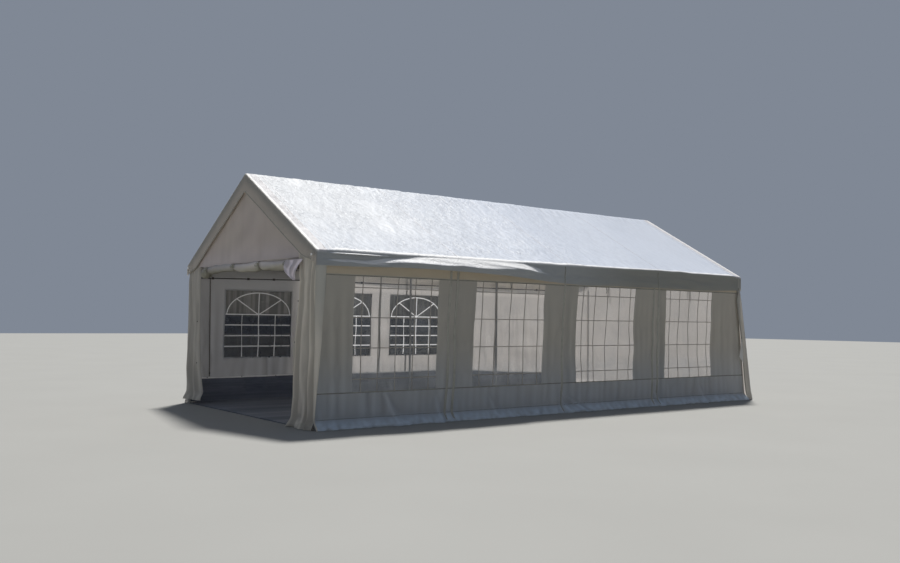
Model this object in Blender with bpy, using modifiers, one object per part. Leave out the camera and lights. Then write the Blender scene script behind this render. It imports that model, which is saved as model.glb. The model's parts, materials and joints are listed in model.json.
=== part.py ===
"""Party marquee: a 4 m by 8 m frame tent with a pitched cover, windowed walls and a rolled-up door.

Metres, +Z up. The ground is z = 0, the origin lies under the middle of the ridge, the open
doorway gable faces -Y and the long wall with oblong windows faces +X.
"""

import math

import bmesh
import bpy
from mathutils import Matrix, Vector

# Whole tent
COVER_WIDTH = 4.0
COVER_LENGTH = 8.0
EAVE_AXIS_Z = 2.035
RIDGE_AXIS_Z = 3.13
BAY_COUNT = 4
GAP = 0.0003

# Steel frame
TUBE_RADIUS = 0.019
SLEEVE_RADIUS = 0.0225
BRANCH_RADIUS = 0.0215
SLEEVE_REACH = 0.085
TUBE_SIDES = 16
FOOT_SIDE = 0.12
FOOT_THICKNESS = 0.006
COLLAR_HEIGHT = 0.05
PEG_HOLE_RADIUS = 0.007
PEG_HOLE_INSET = 0.02
PEG_HOLE_SIDES = 12
BEDDING = 0.003

# Cloth and its hems
CLOTH = 0.005
WALL_TO_VALANCE = 0.0222
VALANCE_DEPTH = 0.2
RAKE_BAND_DEPTH = 0.235
RAKE_BAND_INSET = 0.0005
RIDGE_ARC_STEPS = 6
GABLE_CLOTH_LOW_Z = 1.985

# Oblong windows in the right long wall: middles along Y, from the photograph
WINDOW_WIDTH = 1.2
WINDOW_HEIGHT = 1.35
WINDOW_SILL_Z = 0.41
WINDOW_MIDDLES = (-2.88, -1.08, 0.77, 2.63)
WALL_LAP_Y = -0.1

# Arched-pattern windows in the left long wall
ARCH_WINDOW_WIDTH = 1.1
ARCH_WINDOW_HEIGHT = 1.02
ARCH_WINDOW_SILL_Z = 0.66
ARCH_WINDOW_MIDDLES = (-2.85, -1.35, 0.15)
LEFT_WALL_LAP_Y = 1.97

# Window film
FILM = 0.002

# Doorway, its drapes and the rolled door
DOOR_HALF_WIDTH = 1.5
DRAPE_GATHER = 0.06
DRAPE_FOLDS = 4
DRAPE_FOLD_DEPTH = 0.018
DRAPE_COLUMNS = 24
DRAPE_ROWS = 4
ROLL_RADIUS = 0.06
ROLL_CLUMP = 0.012
ROLL_PINCH = 0.012
ROLL_SIDE_CLEARANCE = 0.03
ROLL_BEHIND_COVER_EDGE = 0.001
ROLL_STEPS = 36
TIE_PLACES = (-1.15, -0.35, 0.45, 1.2)
TIE_REACH = 0.16

# Floor matting
MAT_THICKNESS = 0.01

COLLECTION_NAME = "marquee_tent"
CUTTERS_NAME = "joined_shapes"

# Worked out from the sizes above
HALF_WIDTH = COVER_WIDTH / 2
HALF_LENGTH = COVER_LENGTH / 2
WALL_OUTER_X = HALF_WIDTH - CLOTH - WALL_TO_VALANCE
WALL_INNER_X = WALL_OUTER_X - CLOTH
GABLE_OUTER_Y = HALF_LENGTH - CLOTH - WALL_TO_VALANCE
GABLE_INNER_Y = GABLE_OUTER_Y - CLOTH
LEG_X = WALL_INNER_X - GAP - SLEEVE_RADIUS
END_ARCH_Y = GABLE_INNER_Y - GAP - SLEEVE_RADIUS
ARCH_PITCH = 2 * END_ARCH_Y / BAY_COUNT
ARCH_PLACES = tuple(-END_ARCH_Y + ARCH_PITCH * i for i in range(BAY_COUNT + 1))
FOOT_INWARD = FOOT_SIDE / 2 - SLEEVE_RADIUS
SLOPE = math.atan2(RIDGE_AXIS_Z - EAVE_AXIS_Z, LEG_X)
COVER_INNER = SLEEVE_RADIUS + GAP
COVER_OUTER = COVER_INNER + CLOTH


def clear_scene():
    for obj in list(bpy.data.objects):
        bpy.data.objects.remove(obj, do_unlink=True)


def make_collection(name):
    collection = bpy.data.collections.new(name)
    bpy.context.scene.collection.children.link(collection)
    return collection


def make_material(name, colour, roughness, metallic=0.0, alpha=1.0):
    material = bpy.data.materials.new(name)
    material.use_nodes = True
    shader = material.node_tree.nodes["Principled BSDF"]
    shader.inputs["Base Color"].default_value = (*colour, 1.0)
    shader.inputs["Roughness"].default_value = roughness
    shader.inputs["Metallic"].default_value = metallic
    shader.inputs["Alpha"].default_value = alpha
    return material


clear_scene()
PARTS = make_collection(COLLECTION_NAME)
CUTTERS = make_collection(CUTTERS_NAME)
STEEL = make_material("galvanised_steel", (0.47, 0.48, 0.49), 0.4, metallic=0.9)
COVER_CLOTH = make_material("cover_cloth", (0.86, 0.88, 0.9), 0.45)
WALL_CLOTH = make_material("wall_cloth", (0.72, 0.71, 0.66), 0.6)
CLEAR_FILM = make_material("clear_film", (0.8, 0.83, 0.84), 0.12, alpha=0.3)
SMOKED_FILM = make_material("smoked_film", (0.1, 0.12, 0.15), 0.12, alpha=0.6)
MATTING = make_material("matting", (0.05, 0.06, 0.075), 0.9)


def place(obj, name, material, collection=PARTS):
    """Names the object, gives it its material and moves it to its collection."""
    obj.name = name
    obj.data.name = name
    obj.data.materials.clear()
    obj.data.materials.append(material)
    for holder in list(obj.users_collection):
        holder.objects.unlink(obj)
    collection.objects.link(obj)
    return obj


def object_of(mesh_maker, name, material, collection=PARTS):
    """A new mesh object whose shape mesh_maker(bm) makes."""
    mesh = bpy.data.meshes.new(name)
    bm = bmesh.new()
    mesh_maker(bm)
    bm.to_mesh(mesh)
    bm.free()
    obj = bpy.data.objects.new(name, mesh)
    return place(obj, name, material, collection)


def smooth(obj):
    obj.data.shade_smooth()
    obj.data.set_sharp_from_angle(angle=math.radians(35))


def box(name, low, high, material, collection=PARTS):
    low, high = Vector(low), Vector(high)

    def make(bm):
        bmesh.ops.create_cube(bm, size=1.0)
        bmesh.ops.scale(bm, vec=high - low, verts=bm.verts)

    obj = object_of(make, name, material, collection)
    obj.location = (low + high) / 2
    return obj


def rod(name, start, end, radius, material, collection=PARTS):
    """A round bar from start to end."""
    start, end = Vector(start), Vector(end)
    run = end - start

    def make(bm):
        bmesh.ops.create_cone(
            bm, cap_ends=True, segments=TUBE_SIDES, radius1=radius, radius2=radius, depth=run.length
        )

    obj = object_of(make, name, material, collection)
    obj.location = (start + end) / 2
    obj.rotation_mode = "QUATERNION"
    obj.rotation_quaternion = run.to_track_quat("Z", "Y")
    smooth(obj)
    return obj


def flat_outline(name, loops, thickness, material, collection=PARTS):
    """A flat sheet from closed loops of 2D points. Loops inside the first one are holes."""
    curve = bpy.data.curves.new(name, "CURVE")
    curve.dimensions = "2D"
    curve.fill_mode = "BOTH"
    curve.extrude = thickness / 2
    for loop in loops:
        spline = curve.splines.new("POLY")
        spline.points.add(len(loop) - 1)
        spline.use_cyclic_u = True
        for point, (across, up) in zip(spline.points, loop):
            point.co = (across, up, 0.0, 1.0)
    return place(bpy.data.objects.new(name, curve), name, material, collection)


def mesh_from_curve(curve_object, name, material, collection=PARTS):
    """A mesh object of the curve's shape with its caps welded. The curve is removed."""
    bpy.context.view_layer.update()
    evaluated = curve_object.evaluated_get(bpy.context.evaluated_depsgraph_get())
    mesh = bpy.data.meshes.new_from_object(evaluated)
    bm = bmesh.new()
    bm.from_mesh(mesh)
    bmesh.ops.remove_doubles(bm, verts=bm.verts, dist=1e-5)
    bmesh.ops.recalc_face_normals(bm, faces=bm.faces)
    bm.to_mesh(mesh)
    bm.free()
    obj = bpy.data.objects.new(name, mesh)
    obj.matrix_world = curve_object.matrix_world
    bpy.data.objects.remove(curve_object, do_unlink=True)
    return place(obj, name, material, collection)


def across_x(outline, middle_y):
    """Stands a flat outline up so that its first axis is X, its second Z and its thickness Y."""
    outline.matrix_world = Matrix.Translation((0, middle_y, 0)) @ Matrix.Rotation(math.pi / 2, 4, "X")
    return outline


def along_y(outline, middle_x):
    """Stands a flat outline up so that its first axis is Y, its second Z and its thickness X."""
    turn = Matrix(((0, 0, 1, middle_x), (1, 0, 0, 0), (0, 1, 0, 0), (0, 0, 0, 1)))
    outline.matrix_world = turn
    return outline


def fuse(body, others):
    """Unites the other shapes with body by Boolean modifiers and keeps them as hidden helpers."""
    for i, other in enumerate(others):
        modifier = body.modifiers.new(f"join_{i}", "BOOLEAN")
        modifier.operation = "UNION"
        modifier.solver = "EXACT"
        modifier.object = other
        other.hide_render = True
        other.display_type = "WIRE"
    return body


def rectangle(low_across, high_across, low_up, high_up):
    return [
        (low_across, low_up),
        (high_across, low_up),
        (high_across, high_up),
        (low_across, high_up),
    ]


def circle(middle_across, middle_up, radius, sides):
    turns = (2 * math.pi * i / sides for i in range(sides))
    return [(middle_across + radius * math.cos(a), middle_up + radius * math.sin(a)) for a in turns]


def roof_height(x, offset):
    """Height of the straight slope at x, offset square to the rafter axes."""
    return RIDGE_AXIS_Z - abs(x) * math.tan(SLOPE) + offset / math.cos(SLOPE)


def roof_line(half_width, offset, drop=0.0):
    """Points from +X to -X over the ridge, round over the ridge, offset from the rafter axes."""
    line = [(half_width, roof_height(half_width, offset) - drop)]
    for i in range(RIDGE_ARC_STEPS + 1):
        angle = math.pi / 2 - SLOPE + 2 * SLOPE * i / RIDGE_ARC_STEPS
        line.append((offset * math.cos(angle), RIDGE_AXIS_Z + offset * math.sin(angle) - drop))
    line.append((-half_width, roof_height(half_width, offset) - drop))
    return line


def foot_shift(number):
    """How far along Y the foot plate of an arch's leg lies off the leg: inwards at the two ends."""
    return {1: FOOT_INWARD, BAY_COUNT + 1: -FOOT_INWARD}.get(number, 0.0)


def make_leg(side, number, y):
    """An upright tube in a collar near the outer edge of a square foot plate with two peg holes."""
    name = f"{'right' if side > 0 else 'left'}_leg_{number}"
    x = side * LEG_X
    hole = FOOT_SIDE / 2 - PEG_HOLE_INSET
    loops = [
        rectangle(-FOOT_SIDE / 2, FOOT_SIDE / 2, -FOOT_SIDE / 2, FOOT_SIDE / 2),
        circle(-side * hole, -hole, PEG_HOLE_RADIUS, PEG_HOLE_SIDES),
        circle(-side * hole, hole, PEG_HOLE_RADIUS, PEG_HOLE_SIDES),
    ]
    plate = flat_outline(f"{name}_plate", loops, FOOT_THICKNESS, STEEL, CUTTERS)
    plate.location = (x - side * FOOT_INWARD, y + foot_shift(number), FOOT_THICKNESS / 2)
    leg = mesh_from_curve(plate, name, STEEL)
    inside_plate = FOOT_THICKNESS - BEDDING
    collar_top = FOOT_THICKNESS + COLLAR_HEIGHT
    tube_top = EAVE_AXIS_Z - SLEEVE_REACH - GAP
    collar = rod(f"{name}_collar", (x, y, inside_plate), (x, y, collar_top), BRANCH_RADIUS, STEEL, CUTTERS)
    tube_start = collar_top - BEDDING
    tube = rod(f"{name}_tube", (x, y, tube_start), (x, y, tube_top), TUBE_RADIUS, STEEL, CUTTERS)
    return fuse(leg, [collar, tube])


def rafter_direction(side):
    """Unit vector up the slope from the eave on one side towards the ridge."""
    return Vector((-side * math.cos(SLOPE), 0, math.sin(SLOPE)))


def make_rafter(side, number, y):
    up_slope = rafter_direction(side)
    eave = Vector((side * LEG_X, y, EAVE_AXIS_Z))
    ridge = Vector((0, y, RIDGE_AXIS_Z))
    reach = SLEEVE_REACH + GAP
    name = f"{'right' if side > 0 else 'left'}_rafter_{number}"
    return rod(name, eave + up_slope * reach, ridge - up_slope * reach, TUBE_RADIUS, STEEL)


def make_rail(name, x, z, branch_directions):
    """A rail along the tent with a sleeved connector at each arch."""
    rail = rod(name, (x, -END_ARCH_Y, z), (x, END_ARCH_Y, z), TUBE_RADIUS, STEEL)
    joined = []
    for number, y in enumerate(ARCH_PLACES, start=1):
        centre = Vector((x, y, z))
        low_y = max(y - SLEEVE_REACH, -END_ARCH_Y - SLEEVE_RADIUS)
        high_y = min(y + SLEEVE_REACH, END_ARCH_Y + SLEEVE_RADIUS)
        sleeve = f"{name}_sleeve_{number}"
        joined.append(rod(sleeve, (x, low_y, z), (x, high_y, z), SLEEVE_RADIUS, STEEL, CUTTERS))
        for i, direction in enumerate(branch_directions):
            end = centre + direction * SLEEVE_REACH
            joined.append(rod(f"{sleeve}_branch_{i}", centre, end, BRANCH_RADIUS, STEEL, CUTTERS))
    return fuse(rail, joined)


def make_frame():
    for number, y in enumerate(ARCH_PLACES, start=1):
        for side in (1, -1):
            make_leg(side, number, y)
            make_rafter(side, number, y)
    down = Vector((0, 0, -1))
    make_rail("right_eave_rail", LEG_X, EAVE_AXIS_Z, (down, rafter_direction(1)))
    make_rail("left_eave_rail", -LEG_X, EAVE_AXIS_Z, (down, rafter_direction(-1)))
    make_rail("ridge_rail", 0.0, RIDGE_AXIS_Z, (-rafter_direction(1), -rafter_direction(-1)))


def make_roof_cover():
    """Both slopes and eave valances in one sheet, with a rake band across each gable."""
    inner_half = HALF_WIDTH - CLOTH
    valance_low = roof_height(HALF_WIDTH, COVER_OUTER) - VALANCE_DEPTH
    outer = roof_line(HALF_WIDTH, COVER_OUTER)
    inner = roof_line(inner_half, COVER_INNER)
    outline = [(HALF_WIDTH, valance_low), *outer, (-HALF_WIDTH, valance_low)]
    outline += [(-inner_half, valance_low), *reversed(inner), (inner_half, valance_low)]
    sheet = flat_outline("roof_sheet", [outline], COVER_LENGTH, COVER_CLOTH, CUTTERS)
    cover = mesh_from_curve(across_x(sheet, 0.0), "roof_cover", COVER_CLOTH)
    mid_cloth = (COVER_INNER + COVER_OUTER) / 2
    mid_half = HALF_WIDTH - CLOTH / 2
    band_top = roof_line(mid_half, mid_cloth)
    band_low = roof_line(mid_half, mid_cloth, drop=RAKE_BAND_DEPTH)
    bands = []
    for side, name in ((-1, "front_rake_band"), (1, "rear_rake_band")):
        middle_y = side * (HALF_LENGTH - RAKE_BAND_INSET - CLOTH / 2)
        outline = [*band_top, *reversed(band_low)]
        band = across_x(flat_outline(name, [outline], CLOTH, COVER_CLOTH, CUTTERS), middle_y)
        bands.append(mesh_from_curve(band, name, COVER_CLOTH, CUTTERS))
    fuse(cover, bands)


def make_wall(name, side, low_y, high_y, holes=()):
    """A hanging cloth wall between two places along Y, with its window holes."""
    loops = [rectangle(low_y, high_y, 0.0, EAVE_AXIS_Z), *holes]
    along_y(flat_outline(name, loops, CLOTH, WALL_CLOTH), side * (WALL_OUTER_X - CLOTH / 2))


def make_films(prefix, side, middles, width, height, sill, material):
    """One sheet of film in each window of a long wall."""
    middle_x = side * (WALL_OUTER_X - CLOTH / 2)
    reach_y = width / 2 - GAP
    for number, middle in enumerate(middles, start=1):
        low = (middle_x - FILM / 2, middle - reach_y, sill + GAP)
        high = (middle_x + FILM / 2, middle + reach_y, sill + height - GAP)
        box(f"{prefix}_window_{number}", low, high, material)


def window_holes(middles, width, height, sill):
    return [rectangle(middle - width / 2, middle + width / 2, sill, sill + height) for middle in middles]


def make_long_walls():
    oblong = (WINDOW_WIDTH, WINDOW_HEIGHT, WINDOW_SILL_Z)
    arched = (ARCH_WINDOW_WIDTH, ARCH_WINDOW_HEIGHT, ARCH_WINDOW_SILL_Z)
    front = window_holes([y for y in WINDOW_MIDDLES if y < WALL_LAP_Y], *oblong)
    rear = window_holes([y for y in WINDOW_MIDDLES if y > WALL_LAP_Y], *oblong)
    end = GABLE_OUTER_Y
    make_wall("right_front_wall", 1, -end, WALL_LAP_Y - GAP / 2, front)
    make_wall("right_rear_wall", 1, WALL_LAP_Y + GAP / 2, end, rear)
    make_films("right", 1, WINDOW_MIDDLES, *oblong, CLEAR_FILM)
    left_holes = window_holes(ARCH_WINDOW_MIDDLES, *arched)
    make_wall("left_window_wall", -1, -end, LEFT_WALL_LAP_Y - GAP / 2, left_holes)
    make_wall("left_rear_wall", -1, LEFT_WALL_LAP_Y + GAP / 2, end)
    make_films("left", -1, ARCH_WINDOW_MIDDLES, *arched, SMOKED_FILM)


def make_gable_cloth(name, side):
    """The pointed cloth above head height, close under the cover."""
    half = WALL_INNER_X - GAP
    outline = [(-half, GABLE_CLOTH_LOW_Z), (half, GABLE_CLOTH_LOW_Z), *roof_line(half, SLEEVE_RADIUS)]
    sheet = flat_outline(name, [outline], CLOTH, WALL_CLOTH)
    return across_x(sheet, side * (GABLE_OUTER_Y - CLOTH / 2))


def make_drape(name, side):
    """A door drape in upright folds, wider at the ground than at its top."""
    low_z = GAP
    top_z = GABLE_CLOTH_LOW_Z - 2 * GAP
    outer_x = WALL_INNER_X - GAP - CLOTH / 2
    back_y = GABLE_INNER_Y + CLOTH / 2

    def make(bm):
        bmesh.ops.create_grid(bm, x_segments=DRAPE_COLUMNS, y_segments=DRAPE_ROWS, size=0.5)
        for vert in bm.verts:
            across = vert.co.x + 0.5
            up = vert.co.y + 0.5
            inner_x = DOOR_HALF_WIDTH - DRAPE_GATHER * (1 - up)
            fold = 0.5 - 0.5 * math.cos(2 * math.pi * DRAPE_FOLDS * across)
            x = outer_x + (inner_x - outer_x) * across
            vert.co = (side * x, -back_y - DRAPE_FOLD_DEPTH * fold, low_z + (top_z - low_z) * up)

    drape = object_of(make, name, WALL_CLOTH)
    shell = drape.modifiers.new("cloth", "SOLIDIFY")
    shell.thickness = CLOTH
    shell.offset = 0.0
    smooth(drape)


def roll_radius(x):
    """Radius of the rolled door: drawn in at each tie, with a thick clump at its left end."""
    half = DOOR_HALF_WIDTH - ROLL_SIDE_CLEARANCE
    clump = ROLL_CLUMP * math.exp(-(((x + half) / TIE_REACH) ** 2))
    pinch = sum(ROLL_PINCH * math.exp(-(((x - tie) / (TIE_REACH / 2)) ** 2)) for tie in TIE_PLACES)
    return ROLL_RADIUS + clump - pinch


def make_rolled_door():
    """The door rolled up under the gable cloth, with the flap that it hangs from."""
    half = DOOR_HALF_WIDTH - ROLL_SIDE_CLEARANCE
    widest = ROLL_RADIUS + ROLL_CLUMP
    middle_y = -HALF_LENGTH + ROLL_BEHIND_COVER_EDGE + widest
    middle_z = GABLE_CLOTH_LOW_Z - GAP - widest
    curve = bpy.data.curves.new("rolled_door", "CURVE")
    curve.dimensions = "3D"
    curve.bevel_depth = 1.0
    curve.bevel_resolution = 3
    curve.use_fill_caps = True
    spline = curve.splines.new("POLY")
    spline.points.add(ROLL_STEPS)
    for i, point in enumerate(spline.points):
        x = -half + 2 * half * i / ROLL_STEPS
        point.co = (x, middle_y, middle_z, 1.0)
        point.radius = roll_radius(x)
    roll_curve = place(bpy.data.objects.new("roll", curve), "roll", WALL_CLOTH, CUTTERS)
    roll = mesh_from_curve(roll_curve, "rolled_door", WALL_CLOTH)
    flap_low = (-half + TIE_REACH, -GABLE_OUTER_Y, middle_z)
    flap_high = (half - TIE_REACH, -GABLE_INNER_Y, GABLE_CLOTH_LOW_Z - GAP)
    flap = box("door_flap", flap_low, flap_high, WALL_CLOTH, CUTTERS)
    smooth(roll)
    return fuse(roll, [flap])


def make_gables():
    make_gable_cloth("front_gable_cloth", -1)
    make_drape("right_door_drape", 1)
    make_drape("left_door_drape", -1)
    make_rolled_door()
    make_gable_cloth("rear_gable_cloth", 1)
    top = GABLE_CLOTH_LOW_Z - GAP
    edge = WALL_INNER_X - GAP
    for name, low_x, high_x in (
        ("rear_left_panel", -edge, -DOOR_HALF_WIDTH - GAP),
        ("rear_door_panel", -DOOR_HALF_WIDTH, DOOR_HALF_WIDTH),
        ("rear_right_panel", DOOR_HALF_WIDTH + GAP, edge),
    ):
        box(name, (low_x, GABLE_INNER_Y, 0.0), (high_x, GABLE_OUTER_Y, top), WALL_CLOTH)


def make_floor():
    """Matting from wall to wall, cut out round the foot plates."""
    outer_x = WALL_INNER_X - GAP
    outer_y = GABLE_INNER_Y - GAP
    notch_x = LEG_X - FOOT_INWARD - FOOT_SIDE / 2 - GAP
    notch_reach = FOOT_SIDE / 2 + GAP
    edge = []
    for number, y in enumerate(ARCH_PLACES, start=1):
        low_y = y + foot_shift(number) - notch_reach
        high_y = y + foot_shift(number) + notch_reach
        edge += [(outer_x, low_y), (notch_x, low_y), (notch_x, high_y), (outer_x, high_y)]
    right_edge = [(notch_x, -outer_y), *edge[2:-2], (notch_x, outer_y)]
    left_edge = [(-x, y) for x, y in reversed(right_edge)]
    mat = flat_outline("floor_matting", [right_edge + left_edge], MAT_THICKNESS, MATTING)
    mat.location = (0.0, 0.0, MAT_THICKNESS / 2)


make_frame()
make_roof_cover()
make_long_walls()
make_gables()
make_floor()
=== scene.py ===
"""Looks of a party marquee, 4 m by 8 m: crinkled cover, windowed walls, tied-up door and steel frame.

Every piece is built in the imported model's own frame: metres, +Z up, ground at z = 0, the doorway
gable facing -Y and the long wall with oblong windows facing +X.
"""

import json
import logging
import math
from collections.abc import Callable, Iterable, Sequence
from dataclasses import dataclass
from enum import Enum

import bmesh
import bpy
import numpy as np
from mathutils import Matrix, Vector

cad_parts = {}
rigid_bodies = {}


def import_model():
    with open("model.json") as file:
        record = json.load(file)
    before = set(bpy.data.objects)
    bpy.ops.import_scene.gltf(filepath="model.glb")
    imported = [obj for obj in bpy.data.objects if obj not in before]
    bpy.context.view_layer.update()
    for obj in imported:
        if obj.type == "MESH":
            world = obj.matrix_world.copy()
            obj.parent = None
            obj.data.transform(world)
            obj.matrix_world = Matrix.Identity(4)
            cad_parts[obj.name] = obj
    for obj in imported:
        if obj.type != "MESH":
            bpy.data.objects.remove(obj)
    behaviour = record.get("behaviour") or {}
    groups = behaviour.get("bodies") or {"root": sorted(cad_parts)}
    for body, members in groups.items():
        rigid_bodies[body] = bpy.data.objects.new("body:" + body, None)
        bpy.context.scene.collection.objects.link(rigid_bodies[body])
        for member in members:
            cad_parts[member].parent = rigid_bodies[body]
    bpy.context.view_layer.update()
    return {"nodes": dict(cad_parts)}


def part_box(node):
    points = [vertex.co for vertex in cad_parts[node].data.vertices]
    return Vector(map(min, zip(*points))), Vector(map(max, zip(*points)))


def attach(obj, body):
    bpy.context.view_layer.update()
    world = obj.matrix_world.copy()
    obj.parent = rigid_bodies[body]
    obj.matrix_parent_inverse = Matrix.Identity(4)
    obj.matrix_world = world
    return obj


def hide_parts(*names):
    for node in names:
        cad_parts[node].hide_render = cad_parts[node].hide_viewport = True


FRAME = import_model()
BODY = "root"
LOG = logging.getLogger("marquee")

Array = np.ndarray
Colour = tuple[float, float, float]
Places = tuple[Array, Array, Array]


class Side(Enum):
    """A long side of the tent, by the sign of its X."""

    RIGHT = 1
    LEFT = -1

    @property
    def word(self) -> str:
        """The side as it stands in the names of pieces."""
        return self.name.lower()


class End(Enum):
    """A gable end of the tent, by the sign of its Y."""

    FRONT = -1
    REAR = 1


class Pane(Enum):
    """The pattern that is welded over a window."""

    GRID = "grid"
    FANLIGHT = "fanlight"


class Noise:
    """Smooth gradient noise over a plane, the same for the same seed."""

    CELLS = 256

    def __init__(self, seed: int) -> None:
        """Draws the lattice of gradients.

        Args:
            seed: Seed of the random directions.
        """
        turns = np.random.default_rng(seed).uniform(0.0, 2 * math.pi, (self.CELLS, self.CELLS))
        self.gradient_u = np.cos(turns)
        self.gradient_v = np.sin(turns)

    def at(self, u: Array, v: Array) -> Array:
        """Noise from about -0.7 to 0.7 at each place.

        Args:
            u: First coordinates, in cells.
            v: Second coordinates, in cells.

        Returns:
            One value for each place.
        """
        low_u, low_v = np.floor(u).astype(int), np.floor(v).astype(int)
        part_u, part_v = u - low_u, v - low_v
        ease_u = part_u**3 * (part_u * (part_u * 6 - 15) + 10)
        ease_v = part_v**3 * (part_v * (part_v * 6 - 15) + 10)

        def corner(step_u: int, step_v: int) -> Array:
            """The pull of one corner of the cell."""
            cell = ((low_u + step_u) % self.CELLS, (low_v + step_v) % self.CELLS)
            return self.gradient_u[cell] * (part_u - step_u) + self.gradient_v[cell] * (part_v - step_v)

        near = corner(0, 0) * (1 - ease_u) + corner(1, 0) * ease_u
        far = corner(0, 1) * (1 - ease_u) + corner(1, 1) * ease_u
        return near * (1 - ease_v) + far * ease_v

    def creases(self, u: Array, v: Array) -> Array:
        """Noise with narrow ridges, from 0 in the hollows to 1 on the creases."""
        return np.clip(1 - 3.2 * np.abs(self.at(u, v)), 0.0, 1.0) ** 2


def ease(low: float, high: float, value: Array | float) -> Array:
    """A smooth step from 0 at low to 1 at high.

    Args:
        low: Where the step starts.
        high: Where it ends; it may lie under low.
        value: The values to read.

    Returns:
        The step's height at each value.
    """
    share = np.clip((np.asarray(value, float) - low) / (high - low), 0.0, 1.0)
    return share * share * (3 - 2 * share)


def hump(value: Array, middle: float, reach: float) -> Array:
    """A bell of height 1 round middle, that fades over reach."""
    return np.exp(-(((value - middle) / reach) ** 2))


def lines(marks: Sequence[float], step: float) -> Array:
    """Grid lines through every mark, at most step apart.

    Args:
        marks: Places that need a line, in order.
        step: The widest spacing.

    Returns:
        All the lines, in order.
    """
    runs = [
        np.linspace(low, high, max(1, math.ceil((high - low) / step - 1e-6)), endpoint=False)
        for low, high in zip(marks, marks[1:])
        if high - low > 1e-9
    ]
    return np.concatenate([*runs, [marks[-1]]])


def joining(operation: str, swapped: bool = False) -> Callable[["Signal", "Signal | float"], "Signal"]:
    """An operator that makes one Math node of two values, swapped where asked."""

    def join(first: "Signal", other: "Signal | float") -> "Signal":
        """The node's result."""
        return first.math(operation, *((other, first) if swapped else (first, other)))

    return join


class Signal:
    """A value inside a node tree that can be used in Python sums."""

    __add__ = __radd__ = joining("ADD")
    __sub__ = joining("SUBTRACT")
    __rsub__ = joining("SUBTRACT", True)
    __mul__ = __rmul__ = joining("MULTIPLY")
    __truediv__ = joining("DIVIDE")
    __pow__ = joining("POWER")

    def __init__(self, tree: "NodeMaker", socket: bpy.types.NodeSocket) -> None:
        """Wraps an output socket of a node in tree."""
        self.tree = tree
        self.socket = socket

    def math(self, operation: str, *values: "Signal | float") -> "Signal":
        """The result of one Math node on the values."""
        return self.tree.node("ShaderNodeMath", {"operation": operation}, dict(enumerate(values))).out()

    def __abs__(self) -> "Signal":
        """The value without its sign."""
        return self.math("ABSOLUTE", self)

    def wave(self) -> "Signal":
        """The sine of the value, in radians."""
        return self.math("SINE", self)

    def step(self, low: float, high: float) -> "Signal":
        """A smooth step from 0 at low to 1 at high."""
        settings = {"interpolation_type": "SMOOTHSTEP"}
        return self.tree.node("ShaderNodeMapRange", settings, {0: self, 1: low, 2: high}).out()


class Made:
    """A node just made, whose outputs are read as signals."""

    def __init__(self, tree: "NodeMaker", node: bpy.types.Node) -> None:
        """Keeps the node and the tree that it is in."""
        self.tree = tree
        self.node = node

    def out(self, key: int | str = 0) -> Signal:
        """The output of that name or number."""
        return Signal(self.tree, self.node.outputs[key])


class NodeMaker:
    """Makes and joins the nodes of one shader or geometry tree."""

    def __init__(self, tree: bpy.types.NodeTree) -> None:
        """Works on tree."""
        self.tree = tree

    def node(self, kind: str, settings: dict | None = None, inputs: dict | None = None) -> Made:
        """Makes one node.

        Args:
            kind: The node's Blender type.
            settings: Its properties, set first.
            inputs: A value, a signal or a made node for each input, by name or number.

        Returns:
            The node.
        """
        node = self.tree.nodes.new(kind)
        for name, value in (settings or {}).items():
            setattr(node, name, value)
        for key, value in (inputs or {}).items():
            if isinstance(value, Made):
                value = value.out()
            if isinstance(value, Signal):
                self.tree.links.new(value.socket, node.inputs[key])
            else:
                node.inputs[key].default_value = value
        return Made(self, node)


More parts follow.
